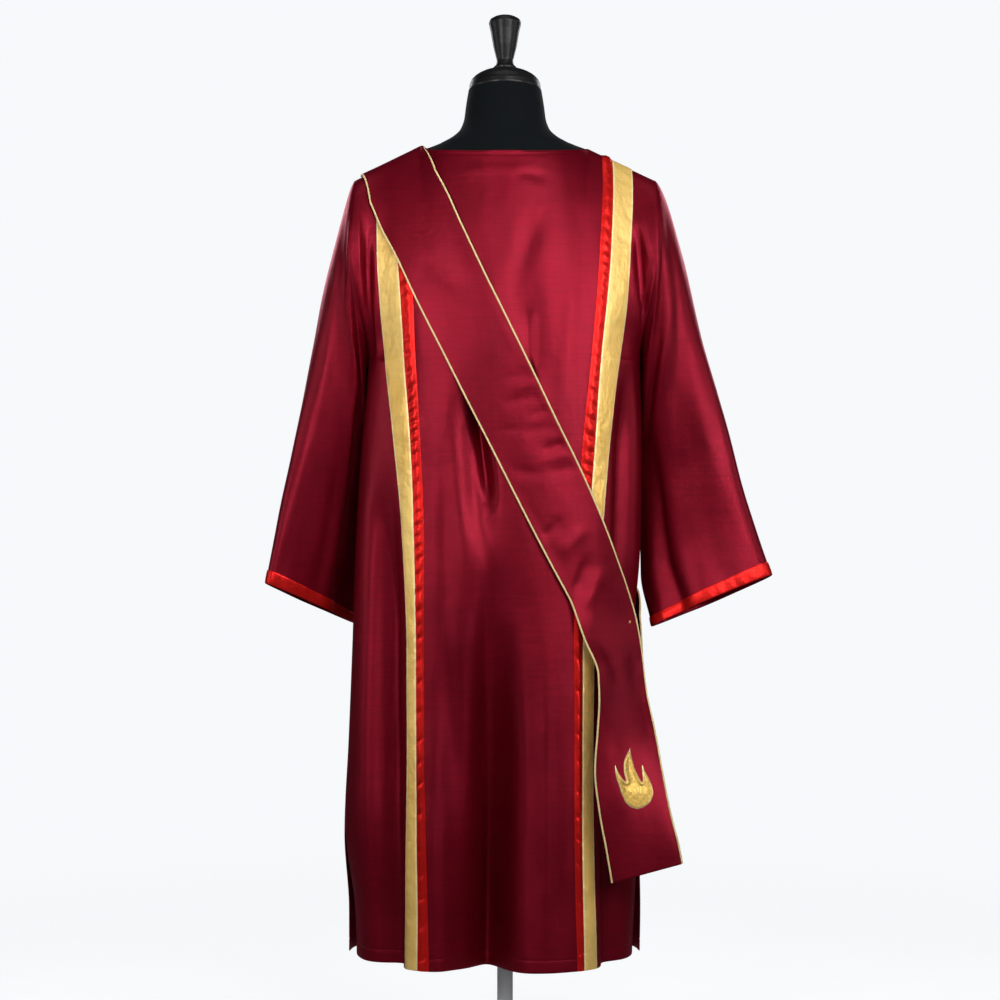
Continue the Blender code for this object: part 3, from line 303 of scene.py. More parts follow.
# Sash creases: across from its left edge, along from the shoulder at the start | at the end
# | bow | half width on either side | depth inwards
SASH_CREASES = {
    "back": in_metres((
        (52, 436, 116, 456, 0, 5, 9, 0.9), (66, 462, 116, 468, 0, 4, 6, -1),
        (36, 470, 112, 496, 3, 5, 8, 1.2), (70, 510, 116, 514, 0, 4, 6, 1.4),
        (40, 522, 112, 552, 3, 6, 8, 0.9), (10, 500, 60, 524, 2, 5, 6, 0.7),
        (58, 562, 116, 576, 0, 5, 7, 2.2), (50, 578, 112, 592, 0, 5, 6, -1.2),
        (4, 560, 60, 600, 0, 10, 8, 1.2), (52, 600, 110, 615, 2, 8, 8, 1.4),
        (2, 680, 50, 665, 2, 6, 10, 1.6), (10, 720, 80, 700, -3, 10, 12, -1.8),
        (2, 780, 60, 735, 3, 6, 12, 2.4), (6, 812, 78, 765, 0, 10, 14, -2.6),
        (20, 850, 50, 960, 2, 12, 14, 1.6), (84, 830, 90, 1080, 0, 16, 14, 1.4),
        (30, 200, 80, 320, 2, 14, 20, 1), (20, 960, 40, 1180, 0, 12, 16, -1.2),
    )),
    "front": in_metres((
        (20, 420, 80, 470, 2, 10, 12, 1.4), (4, 620, 60, 650, 2, 8, 10, 1.6),
        (4, 760, 90, 740, 3, 10, 14, 2.2), (50, 860, 60, 1080, 0, 14, 14, 1.4),
    )),
}

# ---- the bands
# Marks that each band runs between, on either side of the middle | cells across it | flat width
BANDS = {
    "gold": (GOLD_INNER, GOLD_OUTER, 12, 0.029),
    "red": (RED_INNER, GOLD_INNER, 10, 0.0175),
}
BAND_LEAN = 0.12
BAND_ROWS_EACH = 3
SEED_STEP = 1.3
FOLDED_EDGE = 0.0016
FOLDED_EDGE_SHARE = 0.45
GROOVE_DEPTH = 0.00022
GROOVE_SPREAD = 0.0007
PUFF = 0.00025
PUFF_MARGIN = 0.004
# Rucks: RED are those of a narrow red band, FLAT the faint ones of a gold band or a cuff
RED_PUFF = 0.75
RED_PITCH = 0.0205
FLAT_PITCH = 0.021
FLAT_RUCK = 0.00028
FLAT_RIPPLE = 0.00012
FLAT_RIPPLE_TURNS = 310.0
RUCK_SPREAD = 0.30
RUCKS_THIN_FROM = 0.62
RUCKS_THIN_OVER = 0.30

# ---- flame, form and stand
FLAME_Z = 0.4845
FLAME_ACROSS = 0.54
FLAME_HEIGHT = 0.088
FLAME_WIDTH = 0.056
FLAME_SWAY = 0.075
FLAME_STEP = 0.0016
FLAME_CORD = 0.0028
FLAME_CORD_RISE = 0.0016
FLAME_SINK = 0.0008
FLAME_SINK_OVER = 0.004
FLAME_PAD = 0.0005
FLAME_FOOT = 0.0001
FLAME_SLANT = 0.35
FLAME_SQUEEZE = 0.15
FLAME_FINE = 8
FLAME_TIP = 5
FLAME_ROUNDS = 2
FLAME_CLEAR = 0.7
FLAME_MERGE = 1e-7
ON_RIM = 1e-6
LAST_CELL = 1.000001
# Right half of a plain three-tongued flame, from its foot up: across, up
FLAME_SIDE = (
    (0.00, -0.03), (0.17, 0.00), (0.35, 0.08), (0.46, 0.24), (0.48, 0.44), (0.42, 0.72),
    (0.35, 0.57), (0.275, 0.45), (0.215, 0.43), (0.19, 0.56), (0.13, 0.80), (0.00, 1.00),
)
FORM_CLEARANCE = 0.0023
FORM_SLIM = 0.030
FORM_SLIM_FULL = 0.7
FORM_SHARE = 0.93
FORM_NECK_ROOM = 0.006
FORM_NECK_ROOM_ENDS = 0.5
FORM_ROWS = 36
FORM_LOWER_ROWS = 24
FORM_BOTTOM_Z = 0.730
# height in metres | share of the width | share of the depth
FORM_SHARES = (
    (0.73, 0.76, 0.82), (0.85, 0.78, 0.85), (0.98, 0.73, 0.82), (1.13, 0.86, 0.92), (1.3, 0.97, 0.98),
    (1.4, 1, 1), (1.48, 1, 1),
)
# height | half width, half depth of the neck
NECK_RINGS = in_metres((
    (1480, 102, 72), (1490, 84, 68), (1502, 71.5, 64), (1518, 65.5, 61), (1540, 62.5, 59.5),
    (1564, 58.5, 58.5),
))
NECK_TOP_Z = 1.5640
NECK_TILT = math.radians(5.0)
NECK_TILT_GROWS = 0.07
NECK_BEND_Z = 1.518
NECK_LOWER_ROWS = 13
NECK_UPPER_ROWS = 11
CAP_RADIUS = 0.0572
CAP_RIM = 0.006
CAP_HEIGHT = 0.036
CAP_FLAT_RADIUS = 0.019
CAP_EDGE = 0.0012
CAP_STEPS = 20
# radius, height
FINIAL_PROFILE = in_metres((
    (0, 0), (18.5, 0), (19, 3), (14, 8), (13.1, 15), (19, 39), (23.3, 63.7), (26.2, 76.5), (24, 81.5),
    (17, 85.7), (9, 87.5), (0, 88),
))
FINIAL_STEPS = 90
FINIAL_SHARP = (1,)
PROFILE_ROUNDS = 3
ROUNDING = 0.3
CAP_SIDES = 96
CAP_LIP = 0.0003
FINIAL_SIDES = 72
BASE_BEVEL = 0.0015
BASE_FLAT_RADIUS = 0.06
BASE_SIDES = 160
POLE_CELLS = 8
POLE_SIDES = 64
COLLAR_SIDES = 96
COLLAR_STEP = 0.003
# The collar's profile: from which radius, from which height | how far outwards, how far up
COLLAR_PROFILE = (
    ("wide", "foot", 0.0, 0.0), ("wide", "foot", 0.0, 0.0012), ("wide", "foot", -0.0006, 0.0020),
    ("narrow", "foot", 0.0008, 0.0038), ("narrow", "foot", 0.0, 0.0060), ("narrow", "top", 0.0, -0.0018),
    ("narrow", "top", -0.0006, -0.0005), ("narrow", "top", -0.0018, 0.0),
)

# ---- studio
CAMERA_X = -0.008
SENSOR_WIDTH = 36.0
LIGHT_SPREAD = math.radians(76.0)
# name | place | aim | size | which power it takes its share of
LIGHTS = (
    ("key", (0.90, -3.0, 2.30), (0.0, 0.0, 1.46), 1.3, "key", 1.0),
    ("side_left", (-1.7, -2.85, 1.8), (-0.2, 0.0, 1.30), 0.9, "key", 0.95),
    ("side_right", (2.2, -2.6, 1.8), (0.2, 0.0, 1.38), 0.9, "key", 1.00),
    ("edge_left", (-3.0, -0.3, 1.3), (-0.2, 0.0, 1.10), 1.2, "key", 0.30),
    ("edge_right", (3.0, -0.3, 1.5), (0.2, 0.0, 1.30), 1.2, "key", 0.22),
    ("back_left", (-1.8, 2.8, 2.3), (0.0, 0.0, 1.0), 1.2, "fill", 1.7),
    ("back_right", (1.8, 2.8, 2.3), (0.0, 0.0, 1.0), 1.2, "fill", 1.7),
    ("overhead", (0.0, -0.4, 3.4), (0.0, 0.0, 1.0), 1.6, "fill", 0.7),
)
FLOOR_Z = -0.0005
FLOOR_SIDES = 128
FLOOR_RINGS = (0.25, 0.5, 0.75, 1.0)
FLOOR_FADES_FROM = 0.45
FLOOR_GONE = 0.96
FLOOR_GLOW = 0.862
FLOOR_DULL = (0.36, 0.365, 0.37)
FLOOR_BRIGHT = (0.40, 0.405, 0.41)
SKY_LIGHT = (0.93, 0.95, 1.0)
SKY_STRENGTH = 0.035


# ---- settings
class ClothSettings(bpy.types.PropertyGroup):
    """Sizes of the cloth, its trims and its stitching."""

    cloth_wall: FloatProperty(
        name="Cloth thickness", description="Thickness of the lined satin",
        default=0.0018, min=0.0005, max=0.004, unit="LENGTH", precision=4)
    trim_wall: FloatProperty(
        name="Trim thickness", description="Thickness of a band laid on the cloth",
        default=0.0010, min=0.0003, max=0.003, unit="LENGTH", precision=4)
    piping_radius: FloatProperty(
        name="Piping radius", description="Radius of the corded edge of the sash",
        default=0.0015, min=0.0005, max=0.004, unit="LENGTH", precision=4)
    stitch_length: FloatProperty(
        name="Stitch length", description="Length of one visible stitch",
        default=0.0024, min=0.001, max=0.006, unit="LENGTH", precision=4)
    stitch_gap: FloatProperty(
        name="Stitch gap", description="Gap between two stitches",
        default=0.0010, min=0.0003, max=0.004, unit="LENGTH", precision=4)
    stitch_width: FloatProperty(
        name="Thread width", description="Width of the sewing thread",
        default=0.00045, min=0.0002, max=0.001, unit="LENGTH", precision=5)
    edge_margin: FloatProperty(
        name="Edge stitch margin", description="From a band's edge to its stitches",
        default=0.0022, min=0.001, max=0.006, unit="LENGTH", precision=4)
    hem_turn_up: FloatProperty(
        name="Hem turn-up", description="From the hem to the stitches that hold it",
        default=0.019, min=0.005, max=0.05, unit="LENGTH", precision=4)
    pucker: FloatProperty(
        name="Band pucker", description="How far the narrow red bands ruck between stitches",
        default=0.0026, min=0.0, max=0.003, unit="LENGTH", precision=5)
    body_columns: IntProperty(
        name="Body columns", description="Cells across the middle of a body panel",
        default=132, min=20, max=240)
    body_rows: IntProperty(
        name="Body rows", description="Cells from the underarm to the hem",
        default=140, min=20, max=240)


class Colours(bpy.types.PropertyGroup):
    """Colours of the cloths, threads and hard parts."""

    burgundy: FloatVectorProperty(
        name="Burgundy", description="Satin of the dalmatic and the sash",
        default=(0.242, 0.0027, 0.0150), size=3, min=0.0, max=1.0, subtype="COLOR")
    gold: FloatVectorProperty(
        name="Gold", description="Satin of the wide bands",
        default=(1.00, 0.670, 0.205), size=3, min=0.0, max=1.0, subtype="COLOR")
    red: FloatVectorProperty(
        name="Red", description="Satin of the narrow bands and cuffs",
        default=(0.86, 0.018, 0.016), size=3, min=0.0, max=1.0, subtype="COLOR")
    cord: FloatVectorProperty(
        name="Piping", description="Corded edge of the sash",
        default=(1.0, 0.76, 0.36), size=3, min=0.0, max=1.0, subtype="COLOR")
    thread: FloatVectorProperty(
        name="Gold thread", description="Embroidery of the flame",
        default=(0.80, 0.50, 0.10), size=3, min=0.0, max=1.0, subtype="COLOR")
    flame_cord: FloatVectorProperty(
        name="Flame cord", description="Cord round the flame",
        default=(1.0, 0.84, 0.40), size=3, min=0.0, max=1.0, subtype="COLOR")
    tack: FloatVectorProperty(
        name="Tack", description="Thread of the tack at the hip",
        default=(1.0, 0.52, 0.20), size=3, min=0.0, max=1.0, subtype="COLOR")
    # A cream painted highlight along the folded side edges of the wide bands
    gold_edge_highlight: FloatVectorProperty(
        name="Gold edge", description="Woven side edges of the wide bands",
        default=(1.0, 0.90, 0.52), size=3, min=0.0, max=1.0, subtype="COLOR")
    jersey: FloatVectorProperty(
        name="Form cover", description="Jersey over the dress form",
        default=(0.0019, 0.0031, 0.0040), size=3, min=0.0, max=1.0, subtype="COLOR")
    lacquer: FloatVectorProperty(
        name="Lacquer", description="Lacquered wood of the neck cap and finial",
        default=(0.0050, 0.0054, 0.0056), size=3, min=0.0, max=1.0, subtype="COLOR")
    steel: FloatVectorProperty(
        name="Steel", description="Pole and base of the stand",
        default=(0.92, 0.93, 0.95), size=3, min=0.0, max=1.0, subtype="COLOR")


class StudioSettings(bpy.types.PropertyGroup):
    """Camera, lights and floor."""

    distance: FloatProperty(
        name="Camera distance", description="From the pole's axis to the camera",
        default=3.5, min=1.0, max=10.0, unit="LENGTH")
    height: FloatProperty(
        name="Camera height", description="Height of the camera above the floor",
        default=0.91, min=0.1, max=2.5, unit="LENGTH")
    lens: FloatProperty(
        name="Focal length", description="Focal length of the camera in millimetres",
        default=78.75, min=20.0, max=200.0, unit="CAMERA")
    key: FloatProperty(
        name="Key light", description="Power of the large front light",
        default=7.3, min=0.0, max=500.0, unit="POWER")
    fill: FloatProperty(
        name="Fill light", description="Power of the lights behind and above",
        default=2.2, min=0.0, max=500.0, unit="POWER")
    floor_radius: FloatProperty(
        name="Floor radius", description="Radius of the pale floor",
        default=2.6, min=0.5, max=10.0, unit="LENGTH")
    backdrop: FloatVectorProperty(
        name="Backdrop", description="Colour of the studio behind the object",
        default=(0.930, 0.947, 0.965), size=3, min=0.0, max=1.0, subtype="COLOR")


def cloth_settings():
    return bpy.context.scene.dalmatic_cloth


def colour_of(name):
    return tuple(getattr(bpy.context.scene.dalmatic_colours, name))


# ---- curves
def smooth_step(share):
    """From 0 to 1 as the share goes from 0 to 1, level at both ends and beyond them."""
    share = np.clip(share, 0.0, 1.0)
    return share * share * (3.0 - 2.0 * share)


def unit(vectors):
    return vectors / np.linalg.norm(vectors, axis=-1, keepdims=True)


def same_shape(first, second):
    """Two arrays of numbers, repeated until their shapes match."""
    return np.broadcast_arrays(np.asarray(first, float), np.asarray(second, float))


def column_of(table, column):
    return [row[column] for row in table]


def shared_slopes(knots, values):
    """The curve's slope at each knot: level where the values turn, so that it never overshoots."""
    steps = np.diff(values) / np.diff(knots)
    slopes = np.zeros_like(values)
    same_way = steps[1:] * steps[:-1] > 0
    both = np.where(same_way, steps[1:] + steps[:-1], 1.0)
    slopes[1:-1] = np.where(same_way, 2.0 * steps[1:] * steps[:-1] / both, 0.0)
    slopes[0] = steps[0]
    slopes[-1] = steps[-1]
    return slopes


def curve_at(knots, values, place):
    """A smooth curve through the values of one table column, read at the given places."""
    knots = np.asarray(knots, float)
    values = np.asarray(values, float)
    slopes = shared_slopes(knots, values)
    place = np.clip(place, knots[0], knots[-1])
    cell = np.clip(np.searchsorted(knots, place, side="right") - 1, 0, len(knots) - 2)
    span = knots[cell + 1] - knots[cell]
    share = (place - knots[cell]) / span
    rest = 1.0 - share
    start = values[cell] * (1.0 + 2.0 * share) * rest**2 + slopes[cell] * span * share * rest**2
    end = values[cell + 1] * (3.0 - 2.0 * share) * share**2
    return start + end - slopes[cell + 1] * span * share**2 * rest


def read(table, column, place):
    """A smooth curve through one column of a table whose first column says where its rows are."""
    return curve_at(column_of(table, 0), column_of(table, column), place)


def crease_depth(table, u, v):
    """How far the creases of a table press the cloth in at the places u, v."""
    total = np.zeros(np.broadcast(u, v).shape)
    for u0, v0, u1, v1, bow, before, after, depth in table:
        run_u = u1 - u0
        run_v = v1 - v0
        length = math.hypot(run_u, run_v)
        along = ((u - u0) * run_u + (v - v0) * run_v) / length**2
        aside = ((u - u0) * run_v - (v - v0) * run_u) / length * (1.0 if run_v >= 0 else -1.0)
        aside = aside - bow * 4.0 * along * (1.0 - along)
        width = np.where(aside < 0, before, after)
        ends = smooth_step(along / CREASE_ENDS) * smooth_step((1.0 - along) / CREASE_ENDS)
        total += depth * ends * np.exp(-((aside / width) ** 2))
    return total


def swell(u, v):
    """The slow uneven swell of hanging cloth."""
    total = np.zeros(np.broadcast(u, v).shape)
    for across, down, shift, height in SWELLS:
        total += height * np.sin(2.0 * np.pi * (across * u + down * v) + shift)
    return total


# ---- the body's surface
def slit_share(z):
    """How far the side slit has opened at the heights z, 1 at the hem."""
    return smooth_step((SLIT_TOP_Z - z) / (SLIT_TOP_Z - HEM_Z))


def yoke_fall(down):
    """Share of the way from the shoulder to the underarm, in height."""
    return (1.0 - np.cos(np.pi * np.clip(down, 0.0, 1.0))) / 2.0


def mark_places(panel, z):
    """x of each named line of the body at the heights z, one layer for each line."""
    places = [read(LINES, mark + 1, z) for mark in range(len(MARKS))]
    if panel == "back":
        pull = SLIT_PULL * slit_share(z)
        places[0] = places[0] + pull
        places[-1] = places[-1] - pull
    return np.stack(places)


def between_marks(places, cell):
    """The named lines on either side of each point."""
    low = np.take_along_axis(places, cell[None], 0)[0]
    high = np.take_along_axis(places, cell[None] + 1, 0)[0]
    return low, high


def x_of_column(panel, across, z):
    """x of the body's columns, spaced evenly between its marks."""
    marks = np.asarray(MARKS)
    cell = np.clip(np.searchsorted(MARKS, across, side="right") - 1, 0, len(MARKS) - 2)
    low, high = between_marks(mark_places(panel, z), cell)
    return low + (high - low) * (across - marks[cell]) / (marks[cell + 1] - marks[cell])


def column_of_x(panel, x, z):
    """The column that lies at x, the reverse of x_of_column."""
    places = mark_places(panel, z)
    marks = np.asarray(MARKS)
    cell = np.clip((places <= x).sum(axis=0) - 1, 0, len(MARKS) - 2)
    low, high = between_marks(places, cell)
    return marks[cell] + (marks[cell + 1] - marks[cell]) * (x - low) / (high - low)


def neck_arc(across):
    """1 at the middle of the neckline, 0 from the neck point outwards."""
    return np.sqrt(np.clip(1.0 - (across / NECK_SHARE) ** 2, 0.0, 1.0))


def top_height(panel, across):
    beyond = np.clip((np.abs(across) - NECK_SHARE) / (1.0 - NECK_SHARE), 0.0, 1.0)
    ridge = NECK_POINT_Z + (SHOULDER_TIP_Z - NECK_POINT_Z) * beyond
    return ridge - NECKLINE_DROP[panel] * neck_arc(across)


def height_at(panel, across, down):
    """Height of the body's rows: down the yoke from its top edge, then straight to the hem."""
    top = top_height(panel, across)
    yoke = top + (UNDERARM_Z - top) * yoke_fall(down)
    skirt = UNDERARM_Z - (down - 1.0) * (UNDERARM_Z - HEM_Z)
    return np.where(down > 1.0, skirt, yoke)


def down_of_height(panel, across, z):
    """The row that lies at the height z, the reverse of height_at."""
    top = top_height(panel, across)
    fall = np.clip((top - z) / (top - UNDERARM_Z), 0.0, 1.0)
    yoke = np.arccos(1.0 - 2.0 * fall) / np.pi
    skirt = 1.0 + (UNDERARM_Z - z) / (UNDERARM_Z - HEM_Z)
    return np.where(z < UNDERARM_Z, skirt, yoke)


def body_reach(panel, x, z):
    """Half of the body's width on the side of x, and its depth from the side seams."""
    places = mark_places(panel, z)
    edge = np.where(x < 0, -places[0], places[-1])
    return edge, read(DEPTHS, 1 if panel == "back" else 2, z)


def envelope(panel, across, down):
    """The body's surface without its folds."""
    across, down = same_shape(across, down)
    z = height_at(panel, across, down)
    x = x_of_column(panel, across, z)
    edge, depth = body_reach(panel, x, z)
    reach = np.clip(np.abs(x) / edge, 0.0, 1.0)
    section = depth * np.sqrt(1.0 - reach**SECTION_POWER)
    fall = yoke_fall(down)
    neck = neck_arc(across)
    start = NECKLINE_DEPTH[panel] * neck
    rise = np.clip(1.0 - (1.0 - fall) ** 2, 0.0, 1.0) ** (0.5 + 0.5 * neck)
    inside = start + (section - start) * rise
    armhole = ARMHOLE_HALF_DEPTH * 2.0 * np.sqrt(np.clip(fall * (1.0 - fall), 0.0, 1.0))
    turning = smooth_step((reach - ARMHOLE_STARTS) / (1.0 - ARMHOLE_STARTS))
    near_edge = turning * (1.0 - fall**ARMHOLE_POWER)
    out = inside * (1.0 - near_edge) + armhole * near_edge
    spread = SLIT_SPREAD * slit_share(z)
    out = np.maximum(out, spread * reach**SLIT_POWER) + SEAM_GAP / 2.0
    return np.stack([x, SIDE[panel] * out, z], axis=-1)


def outward(panel, surface, across, down):
    """Unit vectors that point out of the body, at right angles to the surface."""
    across, down = same_shape(across, down)
    left = np.clip(across - SLOPE_STEP, -1.0, 1.0)
    right = np.clip(across + SLOPE_STEP, -1.0, 1.0)
    above = np.clip(down - SLOPE_STEP, 0.0, 2.0)
    below = np.clip(down + SLOPE_STEP, 0.0, 2.0)
    along = surface(panel, right, down) - surface(panel, left, down)
    fall = surface(panel, across, below) - surface(panel, across, above)
    normal = np.cross(along, fall) * SIDE[panel]
    at_edge = np.abs(across) > 1.0 - ON_SEAM
    side_seam = at_edge & (down >= 1.0)
    armhole_seam = at_edge & (down < 1.0)
    shoulder_seam = (np.abs(across) > NECK_SHARE - ON_SEAM) & (down < ON_SEAM)
    normal[..., 1] = np.where(side_seam | shoulder_seam, 0.0, normal[..., 1])
    normal[..., 0] = np.where(armhole_seam, 0.0, normal[..., 0])
    return unit(normal)


def fold_depth(panel, x, z, reach):
    """How far the cloth falls in from the envelope, with its folds and its small creases."""
    total = np.zeros_like(x)
    for starts, full, fades, ends, x_start, x_end, width, depth in FOLDS[panel]:
        share = np.clip((starts - z) / (starts - max(ends, HEM_Z)), 0.0, 1.0)
        centre = x_start + (x_end - x_start) * share
        grown = smooth_step((starts - z) / (starts - full))
        faded = 1.0 - smooth_step((fades - z) / (fades - ends))
        total += depth * grown * faded * np.exp(-(((x - centre) / width) ** 2))
    total *= 1.0 - reach**SEAM_POWER
    small = crease_depth(CREASES[panel], x, z) + swell(x * SIDE[panel], z)
    return total + small * (1.0 - reach**CREASE_SEAM_POWER)


def draped(panel, across, down):
    """The body's surface with its folds."""
    across, down = same_shape(across, down)
    base = envelope(panel, across, down)
    x = base[..., 0]
    z = base[..., 2]
    edge, _ = body_reach(panel, x, z)
    depth = fold_depth(panel, x, z, np.clip(np.abs(x) / edge, 0.0, 1.0))
    depth = depth * smooth_step(down / FOLDS_FROM)
    return base - outward(panel, envelope, across, down) * depth[..., None]


# ---- the sleeve's surface
def sleeve_surface(side_name, along, turn):
    """The sleeve's outer surface, at shares of its length and angles round it."""
    along, turn = same_shape(along, turn)
    table = SLEEVES[side_name]
    lines = [read(table, column, along) for column in range(1, 8)]
    top = np.stack(lines[0:3], axis=-1)
    under = np.stack(lines[3:6], axis=-1)
    thick = lines[6][..., None]
    step = 2.0 * SLEEVE_SLOPE_STEP
    travel = [read(table, column, along + step) - read(table, column, along - step) for column in range(1, 7)]
    travel = np.stack(travel, axis=-1)
    travel = travel[..., 0:3] + travel[..., 3:6]
    across = top - under
    width = np.cross(across, travel)
    width = unit(width) * np.where(width[..., 1:2] > 0, -1.0, 1.0)
    middle = (top + under) / 2.0
    half = across / 2.0
    tube = middle + half * np.cos(turn)[..., None] + width * thick * np.sin(turn)[..., None]
    tube = tube - sleeve_trough(side_name, along, turn)[..., None] * unit(tube - middle)
    down = np.where(turn <= np.pi, turn, 2.0 * np.pi - turn) / np.pi
    edge = EDGE[side_name]
    back = envelope("back", np.full_like(down, edge), down)
    front = envelope("front", np.full_like(down, edge), down)
    ring = np.where((turn <= np.pi)[..., None], back, front)
    ring[..., 1] *= 1.0 - SEAM_GAP / (np.abs(ring[..., 1]) + SEAM_GAP)
    ring[..., 0] += edge * SEAM_GAP
    settled = smooth_step(along / SLEEVE_SETTLES)[..., None]
    tube = ring * (1.0 - settled) + tube * settled
    leaving = (edge * ring[..., 0] + SLEEVE_LEAVES * along) * (along < SLEEVE_SETTLES)
    tube[..., 0] = edge * np.maximum(edge * tube[..., 0], leaving)
    return tube


def sleeve_trough(side_name, along, turn):
    """How far the sleeve falls in from its tube, with its creases and the ridge of the armhole seam."""
    degrees = np.degrees(turn)
    total = np.zeros_like(turn)
    for centre, width, depth in SLEEVE_FOLDS:
        total += depth * np.exp(-(((degrees - centre) / width) ** 2))
    total *= smooth_step((along - SLEEVE_TROUGHS_START) / SLEEVE_TROUGHS_GROW)
    small = crease_depth(SLEEVE_CREASES[side_name], degrees, along * 100.0)
    small += swell(np.sin(turn) * SLEEVE_RADIUS + EDGE[side_name], along * SLEEVE_LENGTH)
    seam = SLEEVE_SEAM_RIDGE * np.exp(-(((along - SLEEVE_SEAM_AT) / SLEEVE_SEAM_SPREAD) ** 2))
    seam *= smooth_step(along / SLEEVE_SEAM_AT)
    return total - seam + small * smooth_step(along / SLEEVE_CREASES_FROM)


def sleeve_outward(side_name, along, turn):
    step = SLEEVE_SLOPE_STEP / 2.0
    before = np.clip(along - step, 0.0, 1.0)
    after = np.clip(along + step, 0.0, 1.0)
    run = sleeve_surface(side_name, after, turn) - sleeve_surface(side_name, before, turn)
    back_turn = np.mod(turn - step, 2.0 * np.pi)
    on_turn = np.mod(turn + step, 2.0 * np.pi)
    round_it = sleeve_surface(side_name, along, on_turn) - sleeve_surface(side_name, along, back_turn)
    normal = np.cross(run, round_it) * -EDGE[side_name]
    normal[..., 0] = np.where(along < ON_SEAM, 0.0, normal[..., 0])
    return unit(normal)


# ---- the sash's surface
def on_body(panel, place, share):
    """Points of the sash on the body, at places along its run and shares of its width."""
    place, share = same_shape(place, share)
    knots = np.arange(1.0, len(SASH_RUN) + 1.0)
    lines = [curve_at(knots, column_of(SASH_RUN, column), place) for column in range(4)]
    x = lines[0] * (1.0 - share) + lines[2] * share
    z = lines[1] * (1.0 - share) + lines[3] * share
    across = column_of_x(panel, x, z)
    down = down_of_height(panel, across, z)
    ridge = (SASH_RIDGE[0] * (1.0 - share) + SASH_RIDGE[1] * share) / SHOULDER_HALF
    over = np.clip(place, 0.0, 1.0)
    across = ridge * (1.0 - over) + across * over
    down = down * over
    rise = SASH_LIFT[panel] - SASH_LIFT_AT_SHOULDER
    lift = SASH_LIFT_AT_SHOULDER + rise * smooth_step(place / SASH_LIFT_GROWS)
    normals = outward(panel, envelope, across, down)
    return envelope(panel, across, down) + normals * lift[..., None]


def push_out(panel, points, lift):
    """Moves points straight out from the form's axis until they clear the body by the lift."""
    x = points[..., 0]
    y = points[..., 1]
    edge, depth = body_reach(panel, x, points[..., 2])
    scale = np.ones_like(x)
    for _ in range(PUSH_ROUNDS):
        wide = np.abs(scale * x / edge) ** SECTION_POWER
        deep = (scale * y / depth) ** 2
        slope = (SECTION_POWER * wide + 2.0 * deep) / scale
        scale = scale - (wide + deep - 1.0) / slope
    grow = np.maximum(1.0, scale + PUSH_MARGIN * lift / np.hypot(x, y))
    return points * np.stack([grow, grow, np.ones_like(grow)], axis=-1)


def sash_grid(panel, rows, shares):
    """The sash's face next to the body: rows along it, columns across it."""
    hang = np.array(SASH_HANG[panel])
    last = len(SASH_RUN)
    grid_row, grid_share = np.meshgrid(rows, shares, indexing="ij")
    grid = on_body(panel, np.minimum(grid_row, last), grid_share)
    below = rows > last
    for column, part in enumerate(shares):
        start = on_body(panel, np.array([last - 1.0, float(last)]), part)
        free = hang[:, 0:3] * (1.0 - part) + hang[:, 3:6] * part
        route = np.concatenate([start, free])
        knots = last - 1.0 + np.arange(len(route))
        for axis in range(3):
            grid[below, column, axis] = curve_at(knots, route[:, axis], rows[below])
    grid[below] = push_out(panel, grid[below], SASH_LIFT[panel])
    return grid


def grid_outward(grid, side):
    """Unit vectors at right angles to a grid of points."""
    along = np.gradient(grid, axis=0)
    across = np.gradient(grid, axis=1)
    return unit(np.cross(across, along)) * side


# ---- meshes
def add_mesh(name, points, faces, cloth=None, sharp_degrees=60.0):
    """A mesh object with the cloth's own coordinates on its points."""
    mesh = bpy.data.meshes.new(name)
    sizes = [len(face) for face in faces]
    mesh.vertices.add(len(points))
    mesh.vertices.foreach_set("co", np.asarray(points, np.float32).ravel())
    mesh.loops.add(sum(sizes))
    mesh.loops.foreach_set("vertex_index", np.array([corner for face in faces for corner in face], np.int32))
    mesh.polygons.add(len(sizes))
    mesh.polygons.foreach_set("loop_start", np.cumsum([0] + sizes[:-1]).astype(np.int32))
    mesh.update(calc_edges=True)
    mesh.validate()
    if cloth is not None:
        layer = mesh.attributes.new("cloth", "FLOAT_VECTOR", "POINT")
        layer.data.foreach_set("vector", np.asarray(cloth, np.float32).ravel())
    mesh.shade_smooth()
    mesh.set_sharp_from_angle(angle=math.radians(sharp_degrees))
    piece = bpy.data.objects.new(name, mesh)
    bpy.context.scene.collection.objects.link(piece)
    return piece


def facing_out(points, faces):
    """The faces, all turned over if they enclose their volume from the wrong side."""
    volume = 0.0
    for corners in ((0, 1, 2), (0, 2, 3)):
        picked = [[face[corner] for corner in corners] for face in faces if len(face) > corners[-1]]
        if picked:
            volume += float(np.linalg.det(points[np.array(picked)]).sum())
    return [face[::-1] for face in faces] if volume < 0 else faces


def lengths_along(points):
    """Distances along lines of points, or along the columns of a grid, from their first row."""
    steps = np.linalg.norm(np.diff(points, axis=0), axis=-1)
    return np.concatenate([np.zeros_like(steps[:1]), np.cumsum(steps, axis=0)])


def arc_places(points):
    """Distances across and along a grid of points, and from its side edges, as cloth coordinates."""
    across = lengths_along(np.swapaxes(points, 0, 1)).T
    across = across - across[:, across.shape[1] // 2][:, None]
    down = lengths_along(points)
    margin = np.minimum(across - across[:, :1], across[:, -1:] - across)
    return np.stack([across, down, margin], axis=-1)


def grid_quads(ids, closed=False):
    """Quads over a grid of point numbers."""
    if closed:
        ids = np.concatenate([ids, ids[:, :1]], axis=1)
    quads = np.stack([ids[:-1, :-1], ids[:-1, 1:], ids[1:, 1:], ids[1:, :-1]], axis=-1)
    return quads.reshape(-1, 4)


